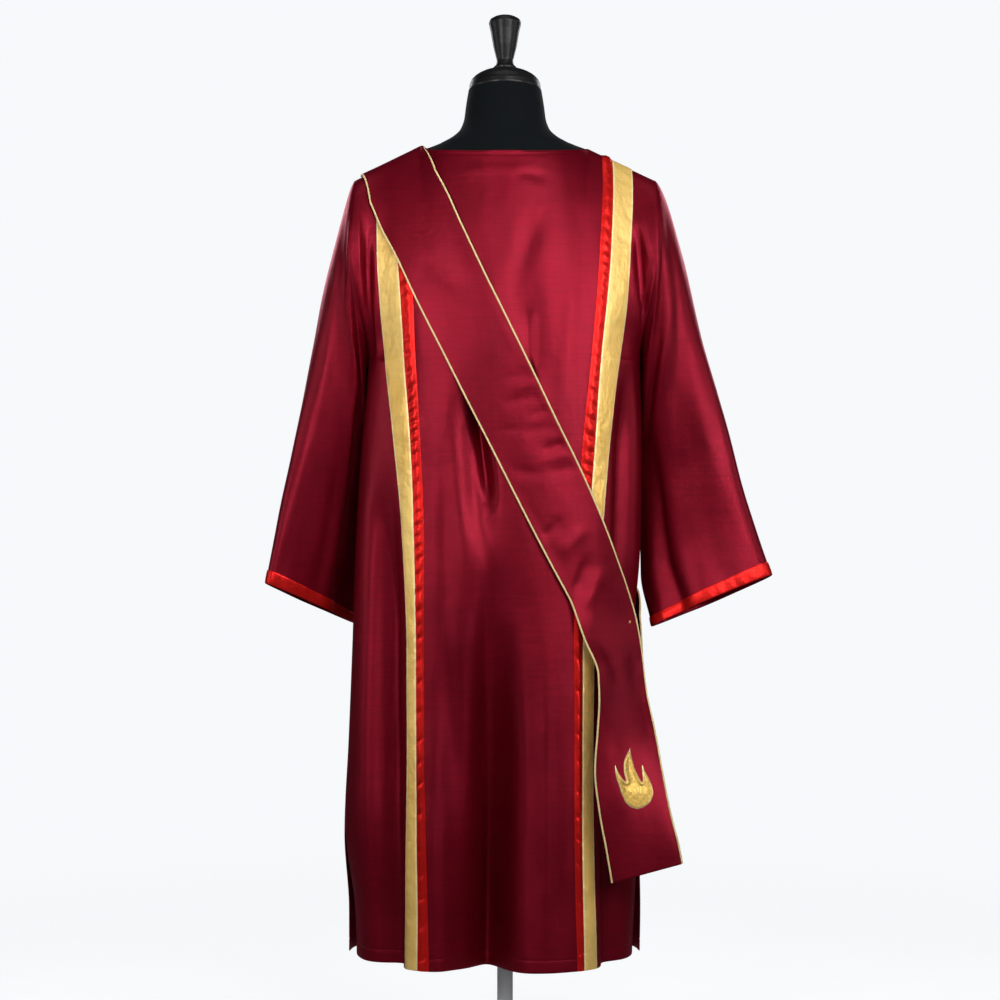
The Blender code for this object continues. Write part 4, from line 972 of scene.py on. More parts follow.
def add_shell(name, outer, inner, closed=False, rims=(0.0, 0.0, 0.0, 0.0)):
    """A thin closed wall between two skins of points.

    rims is how far the edge rolls out, in wall thicknesses, at the first row, the last row, the
    first column and the last column.
    """
    rows, columns = outer.shape[:2]
    count = rows * columns
    ids = np.arange(count).reshape(rows, columns)
    middle = (outer + inner) / 2.0
    places = arc_places(middle)
    if closed:
        places[..., 2] = np.minimum(places[..., 1], places[-1:, :, 1] - places[..., 1])
    points = [outer.reshape(-1, 3), inner.reshape(-1, 3)]
    cloth = [places.reshape(-1, 3), places.reshape(-1, 3)]
    faces = [grid_quads(ids, closed), grid_quads(ids + count, closed)[:, ::-1]]
    wall = np.linalg.norm(outer - inner, axis=-1).mean()
    total = 2 * count
    edges = {}
    every = slice(None)
    sides = (
        ("first", rims[0], (0, every), (1, every), 1),
        ("last", rims[1], (-1, every), (-2, every), -1),
        ("left", rims[2], (every, 0), (every, 1), -1),
        ("right", rims[3], (every, -1), (every, -2), 1),
    )
    for key, roll, here, beside, turn in sides[:2] if closed else sides:
        line = middle[here] + unit(middle[here] - middle[beside]) * roll * wall
        points.append(line)
        cloth.append(places[here])
        edges[key] = total + np.arange(len(line))
        total += len(line)
        strip = np.stack([ids[here] + count, edges[key], ids[here]])
        faces.append(grid_quads(strip, closed)[:, ::turn])
    faces = [tuple(face) for block in faces for face in block.tolist()]
    corners = (
        (0, 0, "first", "left", 1), (0, -1, "first", "right", -1),
        (-1, 0, "last", "left", -1), (-1, -1, "last", "right", 1),
    )
    for row, column, first, second, turn in () if closed else corners:
        a = int(edges[first][column])
        b = int(edges[second][row])
        top = int(ids[row, column])
        faces += [(top, a, b)[::turn], (top + count, b, a)[::turn]]
    points = np.concatenate(points)
    return add_mesh(name, points, facing_out(points, faces), np.concatenate(cloth))


def add_tube(name, rings, ends, cloth=None, sharp_degrees=60.0):
    """A solid of rings joined in order, with a fan to one point at either end."""
    sides = rings.shape[1]
    points = np.concatenate([rings.reshape(-1, 3), ends])
    ids = np.arange(rings.shape[0] * sides).reshape(-1, sides)
    faces = [tuple(face) for face in grid_quads(ids, True).tolist()]
    low = len(points) - 2
    for step in range(sides):
        after = (step + 1) % sides
        faces.append((low, int(ids[0, after]), int(ids[0, step])))
        faces.append((low + 1, int(ids[-1, step]), int(ids[-1, after])))
    return add_mesh(name, points, facing_out(points, faces), cloth, sharp_degrees)


def add_turned(name, profile, sides):
    """A solid turned round the Z axis from a profile of (radius, height) that starts and ends on it."""
    angles = 2.0 * np.pi * np.arange(sides) / sides
    rings = np.stack([
        np.stack([radius * np.cos(angles), radius * np.sin(angles), np.full(sides, height)], axis=-1)
        for radius, height in profile[1:-1]
    ])
    ends = [(0.0, 0.0, profile[0][1]), (0.0, 0.0, profile[-1][1])]
    return add_tube(name, rings, ends, sharp_degrees=35.0)


# A stitch stands this far out of the cloth and in it, in thread widths
STITCH_CROWN = 0.6
STITCH_FOOT = 0.5
STITCH_ENDS = 0.3
# Its corners are an end, a side, the other end and side, its crown and its foot
STITCH_FACES = ((0, 1, 4), (1, 2, 4), (2, 3, 4), (3, 0, 4), (1, 0, 5), (2, 1, 5), (3, 2, 5), (0, 3, 5))


def add_stitches(name, blocks):
    """One piece that holds many stitches, each a block of six points."""
    first = (np.arange(len(blocks)) * 6)[:, None, None]
    faces = (first + np.array(STITCH_FACES)).reshape(-1, 3)
    return add_mesh(name, blocks.reshape(-1, 3), faces.tolist())


def stitch_points(line, normals):
    """Small raised stitches along a line of points that lies on the cloth."""
    cloth = cloth_settings()
    run = lengths_along(line)
    pitch = cloth.stitch_length + cloth.stitch_gap
    centres = np.arange(pitch / 2.0, run[-1] - pitch / 2.0, pitch)
    half = cloth.stitch_length / 2.0

    def at(places, values):
        return np.stack([np.interp(places, run, values[:, axis]) for axis in range(3)], axis=-1)

    here = at(centres, line)
    before = at(centres - half, line)
    after = at(centres + half, line)
    up = unit(at(centres, normals))
    side = unit(np.cross(after - before, up)) * cloth.stitch_width / 2.0
    rise = up * cloth.stitch_width
    start = before - rise * STITCH_ENDS
    end = after - rise * STITCH_ENDS
    crown = here + rise * STITCH_CROWN
    foot = here - rise * STITCH_FOOT
    return np.stack([start, here + side, end, here - side, crown, foot], axis=1)


# Cloth: name of its thread's finish, how far darker than the cloth it is
SEWING = {
    "burgundy": ("burgundy_thread", 0.9),
    "gold": ("gold_sewing_thread", 0.92),
    "red": ("red_sewing_thread", 0.92),
}


def add_sewing(name, lines, cloth):
    """One piece that holds the stitches of several lines, each (points, normals), in the cloth's thread."""
    blocks = np.concatenate([stitch_points(line, normals) for line, normals in lines])
    finish, darker = SEWING[cloth]
    thread = thread_finish(finish, shade(colour_of(cloth), darker))
    finish_piece(add_stitches(name, blocks), thread, cloth + "_satin")


def finish_piece(piece, material, slot_name, *nodes):
    """Gives a piece its material and its place in the frame."""
    piece.data.materials.append(material)
    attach(piece, "root")
    if nodes:
        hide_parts(*nodes)


# ---- materials
NODE_WIDTH = 240
NODE_HEIGHT = 220
NODES_ABREAST = 6
# A wave texture's scale for one turn a metre
WAVE_SCALE = 2.0 * math.pi / 20.0


class Nodes:
    """A node tree, built a node at a time."""

    def __init__(self, tree):
        self.tree = tree
        self.placed = 0

    def node(self, kind, **settings):
        """A new node. A setting with a capital is one of its sockets."""
        made = self.tree.nodes.new(kind)
        column = 1 + self.placed % NODES_ABREAST
        made.location = (-NODE_WIDTH * column, -NODE_HEIGHT * (self.placed // NODES_ABREAST))
        self.placed += 1
        for key, value in settings.items():
            if key[0].isupper():
                made.inputs[key.replace("_", " ")].default_value = value
            else:
                setattr(made, key, value)
        return made

    def link(self, source, target):
        self.tree.links.new(source, target)


class Recipe(Nodes):
    """A material's node tree, with the nodes that its finishes share."""

    def __init__(self, name):
        self.material = bpy.data.materials.new(name)
        self.material.use_nodes = True
        super().__init__(self.material.node_tree)
        self.shader = self.tree.nodes["Principled BSDF"]

    def cloth_place(self):
        """Metres across the cloth, along it and from its side edges."""
        return self.node("ShaderNodeAttribute", attribute_name="cloth").outputs["Vector"]

    def object_place(self, scale=(1.0, 1.0, 1.0)):
        mapping = self.node("ShaderNodeMapping", Scale=scale)
        self.link(self.node("ShaderNodeTexCoord").outputs["Object"], mapping.inputs["Vector"])
        return mapping.outputs["Vector"]

    def noise(self, place, scale, detail=3.0, roughness=0.5):
        made = self.node("ShaderNodeTexNoise", Scale=scale, Detail=detail, Roughness=roughness)
        self.link(place, made.inputs["Vector"])
        return made.outputs["Fac"]

    def wave(self, place, period, direction, distortion=0.6, detail=1.0, kind="bands"):
        """Bands or rings of one period in metres, across x, y or a diagonal of the place."""
        way = {"wave_type": kind.upper(), kind + "_direction": direction}
        scale = WAVE_SCALE / period
        made = self.node("ShaderNodeTexWave", Scale=scale, Distortion=distortion, Detail=detail, **way)
        self.link(place, made.inputs["Vector"])
        return made.outputs["Fac"]

    def range(self, value, low, high, from_low=0.0, from_high=1.0):
        made = self.node(
            "ShaderNodeMapRange", From_Min=from_low, From_Max=from_high, To_Min=low, To_Max=high)
        self.link(value, made.inputs["Value"])
        return made.outputs["Result"]

    def edge_strip(self, place, share, full, gone):
        """A share along the cloth's side edges: whole up to one distance, gone at another."""
        split = self.node("ShaderNodeSeparateXYZ")
        self.link(place, split.inputs["Vector"])
        return self.range(split.outputs["Z"], share, 0.0, full, gone)

    def mix(self, share, first, second):
        """A colour between two, which are colours or sockets."""
        made = self.node("ShaderNodeMix", data_type="RGBA")
        self.link(share, made.inputs["Factor"])
        for socket, colour in ((made.inputs[6], first), (made.inputs[7], second)):
            if isinstance(colour, tuple):
                socket.default_value = (*colour, 1.0)
            else:
                self.link(colour, socket)
        return made.outputs[2]

    def bump(self, height, distance, strength=1.0, below=None):
        """Relief of a height in metres, over the relief below it."""
        made = self.node("ShaderNodeBump", Distance=distance, Strength=strength)
        self.link(height, made.inputs["Height"])
        if below is not None:
            self.link(below, made.inputs["Normal"])
        return made.outputs["Normal"]

    def done(self, colour, roughness, normal, **sockets):
        """The material, with these linked to its shader and the sockets set."""
        for source, name in ((colour, "Base Color"), (roughness, "Roughness"), (normal, "Normal")):
            self.link(source, self.shader.inputs[name])
        for name, value in sockets.items():
            self.shader.inputs[name.replace("_", " ")].default_value = value
        return self.material


def shade(colour, by):
    return tuple(min(1.0, channel * by) for channel in colour)


def made_once(build):
    """A finish that is built for its first piece and found by its name for the others."""

    @functools.wraps(build)
    def find_or_build(name, *choices, **sockets):
        return bpy.data.materials.get(name) or build(name, *choices, **sockets)

    return find_or_build


@made_once
def satin(name, colour, deep, rough, ripple, streaks, edge=None, **sockets):
    """Woven satin: long floats in fine lines, slow changes of tone, soft ripples and a painted edge
    highlight.

    ripple is (height, turns per metre), and streaks is how far the weft darkens the colour.
    edge is the colour of a painted highlight strip along the side edges, where a folded edge catches light.
    """
    recipe = Recipe(name)
    place = recipe.cloth_place()
    tone = recipe.noise(recipe.object_place((1.0, 1.0, 0.5)), 9.0, 4.0, 0.55)
    slub = recipe.noise(recipe.object_place((1.0, 1.0, 0.08)), 160.0, 2.0, 0.5)
    weft = recipe.noise(recipe.object_place((0.06, 0.06, 1.0)), 330.0, 3.0, 0.6)
    body = recipe.mix(recipe.range(tone, 0.0, 1.0, 0.36, 0.64), deep, colour)
    colour_out = recipe.mix(recipe.range(slub, 0.0, 0.16, 0.40, 0.70), body, shade(colour, 1.25))
    colour_out = recipe.mix(recipe.range(weft, 0.0, streaks, 0.42, 0.68), colour_out, shade(colour, 0.60))
    # A painted highlight: a lighter strip along the side edges, where the folded edges catch light
    if edge:
        colour_out = recipe.mix(recipe.edge_strip(place, 0.75, 0.0016, 0.0030), colour_out, edge)
    ripples = recipe.noise(recipe.object_place((1.0, 1.0, 0.55)), ripple[1], 2.0, 0.45)
    normal = recipe.bump(ripples, ripple[0], 0.8)
    flecks = recipe.noise(recipe.object_place((1.0, 1.0, 0.7)), ripple[1] * 4.0, 2.0, 0.5)
    normal = recipe.bump(flecks, ripple[0] * 0.18, 0.8, normal)
    normal = recipe.bump(weft, 0.00022, 0.6, normal)
    normal = recipe.bump(recipe.wave(place, 0.0011, "X", 0.8), 0.00010, 0.35, normal)
    normal = recipe.bump(recipe.wave(place, 0.0009, "Y", 0.5), 0.00006, 0.25, normal)
    roughness = recipe.range(tone, rough[0], rough[1], 0.3, 0.7)
    return recipe.done(colour_out, roughness, normal, **sockets)


def burgundy_satin():
    burgundy = colour_of("burgundy")
    return satin(
        "satin_burgundy", burgundy, shade(burgundy, 0.80), (0.36, 0.47), (0.0014, 26.0), 0.36,
        Metallic=0.62, Specular_IOR_Level=0.50, Specular_Tint=(1.0, 0.42, 0.52, 1.0))


def gold_satin():
    gold = colour_of("gold")
    deep = (gold[0] * 0.80, gold[1] * 0.70, gold[2] * 0.52)
    return satin(
        "satin_gold", gold, deep, (0.34, 0.50), (0.0062, 48.0), 0.12, colour_of("gold_edge_highlight"),
        Metallic=0.20, Specular_IOR_Level=0.45, Specular_Tint=(1.0, 0.82, 0.50, 1.0))


def red_satin():
    red = colour_of("red")
    return satin(
        "satin_red", red, shade(red, 0.66), (0.28, 0.38), (0.0014, 70.0), 0.16,
        Metallic=0.60, Specular_IOR_Level=0.40, Specular_Tint=(1.0, 0.30, 0.25, 1.0))


@made_once
def thread_finish(name, colour, period=0.0008, rough=(0.34, 0.5), metallic=0.0, border=None):
    """Twisted or laid thread, in fine slanting lines. border is the colour of a cord round its edge."""
    recipe = Recipe(name)
    place = recipe.cloth_place()
    tone = recipe.noise(recipe.object_place(), 240.0, 2.0, 0.5)
    lines = recipe.wave(place, period, "DIAGONAL", 0.4)
    deep = shade(colour, 0.50 if border else 0.78)
    body = recipe.mix(recipe.range(tone, 0.0, 1.0, 0.35, 0.65), deep, colour)
    colour_out = recipe.mix(recipe.range(lines, 0.0, 0.35), body, shade(colour, 1.2))
    if border:
        colour_out = recipe.mix(recipe.edge_strip(place, 1.0, 0.0010, 0.0024), colour_out, border)
    normal = recipe.bump(lines, 0.00018, 0.7)
    roughness = recipe.range(tone, rough[0], rough[1])
    return recipe.done(colour_out, roughness, normal, Metallic=metallic)


@made_once
def jersey(name):
    """Fine black knit: columns of small loops, a little lighter in fine bands along its rows of loops."""
    colour = colour_of("jersey")
    recipe = Recipe(name)
    place = recipe.object_place()
    cloud = recipe.noise(place, 14.0, 4.0, 0.55)
    columns = recipe.wave(place, 0.0014, "X", 0.5)
    loops = recipe.wave(place, 0.0011, "Z", 0.5)
    body = recipe.mix(recipe.range(cloud, 0.0, 1.0, 0.35, 0.7), colour, shade(colour, 1.7))
    colour_out = recipe.mix(recipe.range(loops, 0.0, 0.2), body, shade(colour, 2.2))
    normal = recipe.bump(columns, 0.00018, 0.5)
    normal = recipe.bump(loops, 0.00012, 0.4, normal)
    return recipe.done(
        colour_out, recipe.range(cloud, 0.72, 0.86), normal,
        Specular_IOR_Level=0.12, Sheen_Weight=0.02, Sheen_Roughness=0.5)


@made_once
def lacquered_wood(name):
    """Nearly black lacquer over turned wood, with a faint grain and a painted highlight on its sharp edges.
    """
    grain_colour = (0.0100, 0.0088, 0.0080)
    rim_highlight_colour = (0.026, 0.024, 0.021)
    recipe = Recipe(name)
    grain = recipe.noise(recipe.object_place((60.0, 60.0, 9.0)), 1.6, 5.0, 0.6)
    cloud = recipe.noise(recipe.object_place(), 70.0, 3.0, 0.5)
    edges = recipe.node("ShaderNodeNewGeometry").outputs["Pointiness"]
    body = recipe.mix(recipe.range(grain, 0.0, 1.0, 0.4, 0.65), colour_of("lacquer"), grain_colour)
    # Sharp edges, found by their pointiness, get a painted highlight
    colour_out = recipe.mix(recipe.range(edges, 0.0, 0.5, 0.52, 0.60), body, rim_highlight_colour)
    normal = recipe.bump(cloud, 0.0004, 0.25)
    normal = recipe.bump(grain, 0.00006, 0.3, normal)
    return recipe.done(
        colour_out, recipe.range(cloud, 0.34, 0.46), normal,
        Specular_IOR_Level=0.26, Coat_Weight=0.05, Coat_Roughness=0.22)


@made_once
def brushed_steel(name, round_it):
    """Brushed steel, with its lines round a turned part or along a tube."""
    colour = colour_of("steel")
    recipe = Recipe(name)
    if round_it:
        lines = recipe.wave(recipe.object_place(), 0.0016, "Z", 3.0, 3.0, "rings")
    else:
        lines = recipe.noise(recipe.object_place((2.0, 2.0, 0.06)), 420.0, 3.0, 0.6)
    smear = recipe.noise(recipe.object_place(), 18.0, 4.0, 0.6)
    body = recipe.mix(recipe.range(lines, 0.0, 1.0, 0.3, 0.7), shade(colour, 0.88), colour)
    colour_out = recipe.mix(recipe.range(smear, 0.0, 0.35, 0.45, 0.75), body, shade(colour, 0.72))
    normal = recipe.bump(lines, 0.00006, 0.35)
    return recipe.done(colour_out, recipe.range(smear, 0.26, 0.42, 0.3, 0.7), normal, Metallic=0.28)


# ---- the body
def bunched(cells):
    """Shares from 0 to 1, close together at both ends."""
    return (1.0 - np.cos(np.linspace(0.0, np.pi, cells + 1))) / 2.0


def body_columns():
    """Columns of a body panel: even over the middle, close together where it turns to the seams."""
    middle = np.linspace(-GOLD_OUTER, GOLD_OUTER, cloth_settings().body_columns + 1)
    beyond = 1.0 - (1.0 - np.linspace(0.0, 1.0, SIDE_CELLS + 1)[1:]) ** SIDE_BUNCHING
    side = GOLD_OUTER + (1.0 - GOLD_OUTER) * beyond
    return np.concatenate([-side[::-1], middle, side])


def body_rows():
    """Rows of a body panel, close together at the stitches over the hem."""
    cells = cloth_settings().body_rows
    yoke = np.linspace(0.0, 1.0, cells // 2 + 1)
    near = cloth_settings().hem_turn_up + np.array(HEM_ROWS)
    hem = 2.0 - np.append(near, 0.0) / (UNDERARM_Z - HEM_Z)
    return np.concatenate([yoke, np.linspace(1.0, hem[0], cells + 1)[1:-1], hem])


def lay_on_body(panel, across, down):
    """Points of the draped body and the directions out of it, over a grid."""
    grid_down, grid_across = np.meshgrid(down, across, indexing="ij")
    return draped(panel, grid_across, grid_down), outward(panel, draped, grid_across, grid_down)


def band_columns(low, high, edge, cells):
    """Columns of a band between two marks, on the left or the right."""
    columns = low + (high - low) * bunched(cells)
    return columns if edge > 0 else -columns[::-1]


def ruck(place, along, height, pitch, seed, lean=0.0):
    """Uneven rucks of a stitched band: soft dents a pitch apart, some deep and some faint.

    The rates share no simple ratio, so no two rucks are alike.
    """
    turns = along / pitch
    wander = turns + 0.35 * np.sin(turns * 0.73 + seed) + 0.25 * np.sin(turns * 0.31 + 2.0 * seed)
    strong = 0.75 + 0.25 * np.sin(turns * 0.47 + 1.7 * seed)
    slant = 0.16 * (place - 0.5) * np.sin(turns * 0.9 + seed)
    dent = (0.5 + 0.5 * np.cos(2.0 * np.pi * (wander + slant))) ** 2
    centre = 0.5 + lean + 0.08 * np.sin(turns * 1.9 + seed)
    low = smooth_step((along - RUCKS_THIN_FROM) / RUCKS_THIN_OVER)
    kept = (0.5 + 0.5 * np.cos(np.pi * wander)) ** 3
    middle = np.exp(-(((place - centre) / RUCK_SPREAD) ** 2))
    return height * strong * (1.0 - low * (1.0 - 0.9 * kept)) * dent * middle


def band_skins(points, normals, kind, seed, lean=0.0):
    """The two faces of a band: folded edges roll down, a groove runs under each row of stitches."""
    cloth = cloth_settings()
    places = arc_places(points)
    width = places[:, -1:, 0] - places[:, :1, 0]
    share = (places[..., 0] - places[:, :1, 0]) / width
    margin = np.minimum(share, 1.0 - share) * width
    edge = FOLDED_EDGE_SHARE + (1.0 - FOLDED_EDGE_SHARE) * smooth_step(margin / FOLDED_EDGE)
    groove = np.exp(-(((margin - cloth.edge_margin) / GROOVE_SPREAD) ** 2))
    puff = smooth_step((margin - cloth.edge_margin) / PUFF_MARGIN)
    high = SEAM_GAP + cloth.trim_wall * edge - GROOVE_DEPTH * groove + PUFF * puff
    along = places[..., 1]
    if kind == "red":
        high = high + RED_PUFF * cloth.pucker * puff - ruck(share, along, cloth.pucker, RED_PITCH, seed, lean)
    else:
        ripple = FLAT_RIPPLE * np.sin(along * FLAT_RIPPLE_TURNS + seed)
        high = high - ruck(share, along, FLAT_RUCK, FLAT_PITCH, seed) + ripple
    return points + normals * high[..., None], points + normals * SEAM_GAP


def band_stitches(outer, normals):
    """Lines of stitches near both edges of a band."""
    run = arc_places(outer)
    inset = cloth_settings().edge_margin / (run[:, -1, 0] - run[:, 0, 0])
    return [(row_points(outer, share), unit(row_points(normals, share))) for share in (inset, 1.0 - inset)]


def row_points(grid, share):
    """A point of each row of a grid, at a share of its arc length across."""
    places = arc_places(grid)[..., 0]
    places = (places - places[:, :1]) / (places[:, -1:] - places[:, :1])
    return np.stack([
        [np.interp(at, row, line) for at, row, line in zip(share, places, grid[..., axis])]
        for axis in range(3)
    ], axis=-1)


class DALMATIC_OT_body(bpy.types.Operator):
    """Back and front panels of the dalmatic, with their hem and neckline stitches"""

    bl_idname = "dalmatic.body"
    bl_label = "Body panels"

    def execute(self, context):
        cloth = cloth_settings()
        columns = body_columns()
        rows = body_rows()
        hem = np.linspace(-STITCHES_END, STITCHES_END, HEM_POINTS)
        hem_down = 2.0 - cloth.hem_turn_up / (UNDERARM_Z - HEM_Z)
        neck = np.linspace(-NECK_SHARE * STITCHES_END, NECK_SHARE * STITCHES_END, NECK_POINTS)
        lines = []
        for panel in SIDE:
            points, normals = lay_on_body(panel, columns, rows)
            outer = points - normals * self.sewn_lines(rows[:, None], columns[None, :])[..., None]
            inner = points - normals * cloth.cloth_wall
            piece = add_shell("body_" + panel, outer, inner, rims=ROLLS["body"])
            finish_piece(piece, burgundy_satin(), "burgundy_satin", "panel_" + panel)
            for across, down in ((hem, hem_down), (neck, NECK_STITCHES)):
                down = np.full_like(across, down)
                lines.append((draped(panel, across, down), outward(panel, draped, across, down)))
        add_sewing("stitches_body", lines, "burgundy")
        return {"FINISHED"}

    def sewn_lines(self, down, across):
        """The shallow grooves that the hem's and the neckline's stitches pull in the cloth."""
        from_hem = (2.0 - down) * (UNDERARM_Z - HEM_Z)
        hem = np.exp(-(((from_hem - cloth_settings().hem_turn_up) / HEM_GROOVE_SPREAD) ** 2))
        neck = np.exp(-(((down - NECK_STITCHES) / NECK_GROOVE_SPREAD) ** 2)) * (np.abs(across) < NECK_SHARE)
        return SEWN_DEPTH * (hem + neck)


class DALMATIC_OT_bands(bpy.types.Operator):
    """Gold and red bands down the back and front, with their edge stitches"""

    bl_idname = "dalmatic.bands"
    bl_label = "Gold and red bands"

    def execute(self, context):
        finishes = {"gold": gold_satin, "red": red_satin}
        lines = {"gold": [], "red": []}
        rows = cloth_settings().body_rows
        skirt = np.linspace(1.0, 2.0, BAND_ROWS_EACH * rows + 1)[1:]
        down = np.concatenate([np.linspace(0.0, 1.0, rows + 1), skirt])
        inset = np.array([SEAM_GAP / 2.0, 0.0, 0.0])
        seed = 0.0
        for panel, (side_name, edge), (kind, marks) in itertools.product(SIDE, EDGE.items(), BANDS.items()):
            seed += SEED_STEP
            low, high, cells, _ = marks
            points, normals = lay_on_body(panel, band_columns(low, high, edge, cells), down)
            outer, inner = band_skins(points, normals, kind, seed, BAND_LEAN * edge)
            for skin in (outer, inner):
                skin[:, 0] += inset
                skin[:, -1] -= inset
            ending = "_" + kind + "_" + panel + "_" + side_name
            piece = add_shell("band" + ending, outer, inner, rims=ROLLS["band"])
            finish_piece(piece, finishes[kind](), kind + "_satin", "orphrey" + ending)
            lines[kind] += band_stitches(outer, normals)
        for kind in lines:
            add_sewing("stitches_" + kind + "_bands", lines[kind], kind)
        return {"FINISHED"}


class DALMATIC_OT_sleeves(bpy.types.Operator):
    """Both sleeves with their red cuff bands"""

    bl_idname = "dalmatic.sleeves"
    bl_label = "Sleeves and cuffs"

    def execute(self, context):
        top = np.linspace(0.0, SLEEVE_TOP, SLEEVE_TOP_CELLS + 1)
        rows = np.concatenate([top, np.linspace(SLEEVE_TOP, 1.0, SLEEVE_CELLS + 1)[1:]])
        cuff_rows = CUFF_STARTS + (1.0 - CUFF_STARTS) * bunched(CUFF_CELLS)
        lines = []
        for side_name, edge in EDGE.items():
            points, normals = self.lay_on_sleeve(side_name, rows, SLEEVE_TURNS)
            inner = points - normals * cloth_settings().cloth_wall
            piece = add_shell("sleeve_cloth_" + side_name, points, inner, closed=True, rims=ROLLS["sleeve"])
            finish_piece(piece, burgundy_satin(), "burgundy_satin", "sleeve_" + side_name)
            points, normals = self.lay_on_sleeve(side_name, cuff_rows, CUFF_TURNS)
            outer, inner = self.cuff_skins(points, normals, edge)
            piece = add_shell("cuff_" + side_name, outer, inner, closed=True, rims=ROLLS["cuff"])
            finish_piece(piece, red_satin(), "red_satin", "cuff_band_" + side_name)
            for row in CUFF_STITCH_ROWS:
                line = np.concatenate([outer[row], outer[row, :1]])
                lines.append((line, np.concatenate([normals[row], normals[row, :1]])))
        add_sewing("stitches_cuffs", lines, "red")
        return {"FINISHED"}

    def lay_on_sleeve(self, side_name, rows, count):
        """Points of a sleeve and the directions out of it, over rows and turns from its underarm fold."""
        turns = 2.0 * np.pi * ((np.arange(count) + count // 2) % count) / count
        along, turn = np.meshgrid(rows, turns, indexing="ij")
        return sleeve_surface(side_name, along, turn), sleeve_outward(side_name, along, turn)

    def cuff_skins(self, points, normals, seed):
        """The two faces of a cuff: a band that runs round the sleeve."""
        flipped = np.swapaxes(points, 0, 1)
        outer, inner = band_skins(flipped, np.swapaxes(normals, 0, 1), "cuff", seed)
        return np.swapaxes(outer, 0, 1), np.swapaxes(inner, 0, 1)


class DALMATIC_OT_sash(bpy.types.Operator):
    """Back and front lengths of the sash, their piping and the tack at the hip"""

    bl_idname = "dalmatic.sash"
    bl_label = "Sash and piping"

    def execute(self, context):
        shares = (bunched(SASH_CELLS) + np.linspace(0.0, 1.0, SASH_CELLS + 1)) / 2.0
        for panel in SIDE:
            inner, normals = self.lay_sash(panel, shares)
            outer = inner + normals * cloth_settings().cloth_wall
            piece = add_shell("sash_" + panel, outer, inner, rims=ROLLS["sash"])
            finish_piece(piece, burgundy_satin(), "burgundy_satin", "stole_" + panel)
            middle = (outer + inner) / 2.0
            for side_name, edge, beside in (("left", 0, 1), ("right", -1, -2)):
                away = unit(middle[:, edge] - middle[:, beside])
                self.add_piping(panel + "_" + side_name, middle[:, edge], away, normals[:, edge])
            if panel == "back":
                self.add_tack(outer, normals)
                self.add_hem(outer, normals)
                add_flame(outer, normals)
        return {"FINISHED"}

    def lay_sash(self, panel, shares):
        """The creased face of the sash next to the body, and the directions out of it."""
        stations = len(SASH_RUN) + len(SASH_HANG[panel])
        inner = sash_grid(panel, np.linspace(0.0, stations, SASH_ROWS_EACH * stations + 1), shares)
        normals = grid_outward(inner, SIDE[panel])
        normals[0, :, 1] = 0.0
        normals = unit(normals)
        places = arc_places(inner)
        along = places[..., 1]
        across = places[..., 0] - places[:, :1, 0]
        press = crease_depth(SASH_CREASES[panel], across, along)
        press = press + SASH_SWELL * swell(across + SASH_SWELL_SHIFT, along)
        margin = np.minimum(across, across[:, -1:] - across)
        press = press * smooth_step(margin / SASH_CREASE_MARGIN) * smooth_step(along / SASH_CREASES_FROM)
        return inner - normals * press[..., None], normals

    def add_piping(self, ending, edge, away, normals):
        """A round cord covered in cloth, sewn along one long edge."""
        radius = cloth_settings().piping_radius
        centre = edge + away * (radius + SEAM_GAP)
        angles = math.pi + 2.0 * math.pi * (np.arange(PIPING_SIDES) + 0.5) / PIPING_SIDES
        cos = np.cos(angles)[None, :, None]
        sin = np.sin(angles)[None, :, None]
        rings = centre[:, None] + radius * (away[:, None] * cos + normals[:, None] * sin)
        places = np.concatenate([arc_places(rings).reshape(-1, 3), np.zeros((2, 3))])
        piece = add_tube("piping_cord_" + ending, rings, centre[[0, -1]], places)
        finish = thread_finish("twisted_cord", colour_of("cord"), 0.0011, (0.42, 0.55))
        finish_piece(piece, finish, "pale_gold_cord", "piping_" + ending)

    def add_tack(self, outer, normals):
        """The small sewn tack that joins the two lengths at the hip."""
        row = int(np.argmin(np.abs(outer[:, TACK_COLUMN, 2] - TACK_Z)))
        centre = outer[row, TACK_COLUMN]
        up = normals[row, TACK_COLUMN]
        right = unit(outer[row, TACK_COLUMN + 1] - outer[row, TACK_COLUMN - 1])
        forward = np.cross(up, right)
        rise = up * TACK_RISE
        blocks = []
        for step in range(TACK_THREADS):
            angle = math.pi * step / TACK_THREADS
            way = (right * math.cos(angle) + forward * math.sin(angle)) * TACK_REACH
            start = centre - way + up * TACK_FOOT
            end = centre + way + up * TACK_FOOT
            here = (start + end) / 2.0
            side = unit(np.cross(end - start, up)) * TACK_HALF_WIDTH
            foot = here - rise * TACK_SINK
            blocks.append(np.stack([start, here + side, end, here - side, here + rise, foot]))
        piece = add_stitches("sash_tack", np.stack(blocks))
        finish_piece(piece, thread_finish("tack_thread", colour_of("tack")), "red_satin")

    def add_hem(self, outer, normals):
        run = arc_places(outer)[..., 1]
        rows = np.abs(run - (run[-1] - SASH_HEM)).argmin(axis=0)[1:-1]
        columns = np.arange(1, outer.shape[1] - 1)
        add_sewing("stitches_sash_hem", [(outer[rows, columns], normals[rows, columns])], "burgundy")


def softened(values):
    """The inner values of a row, each drawn half-way to the mean of its two neighbours."""
    return (values[:-2] + 2.0 * values[1:-1] + values[2:]) / 4.0


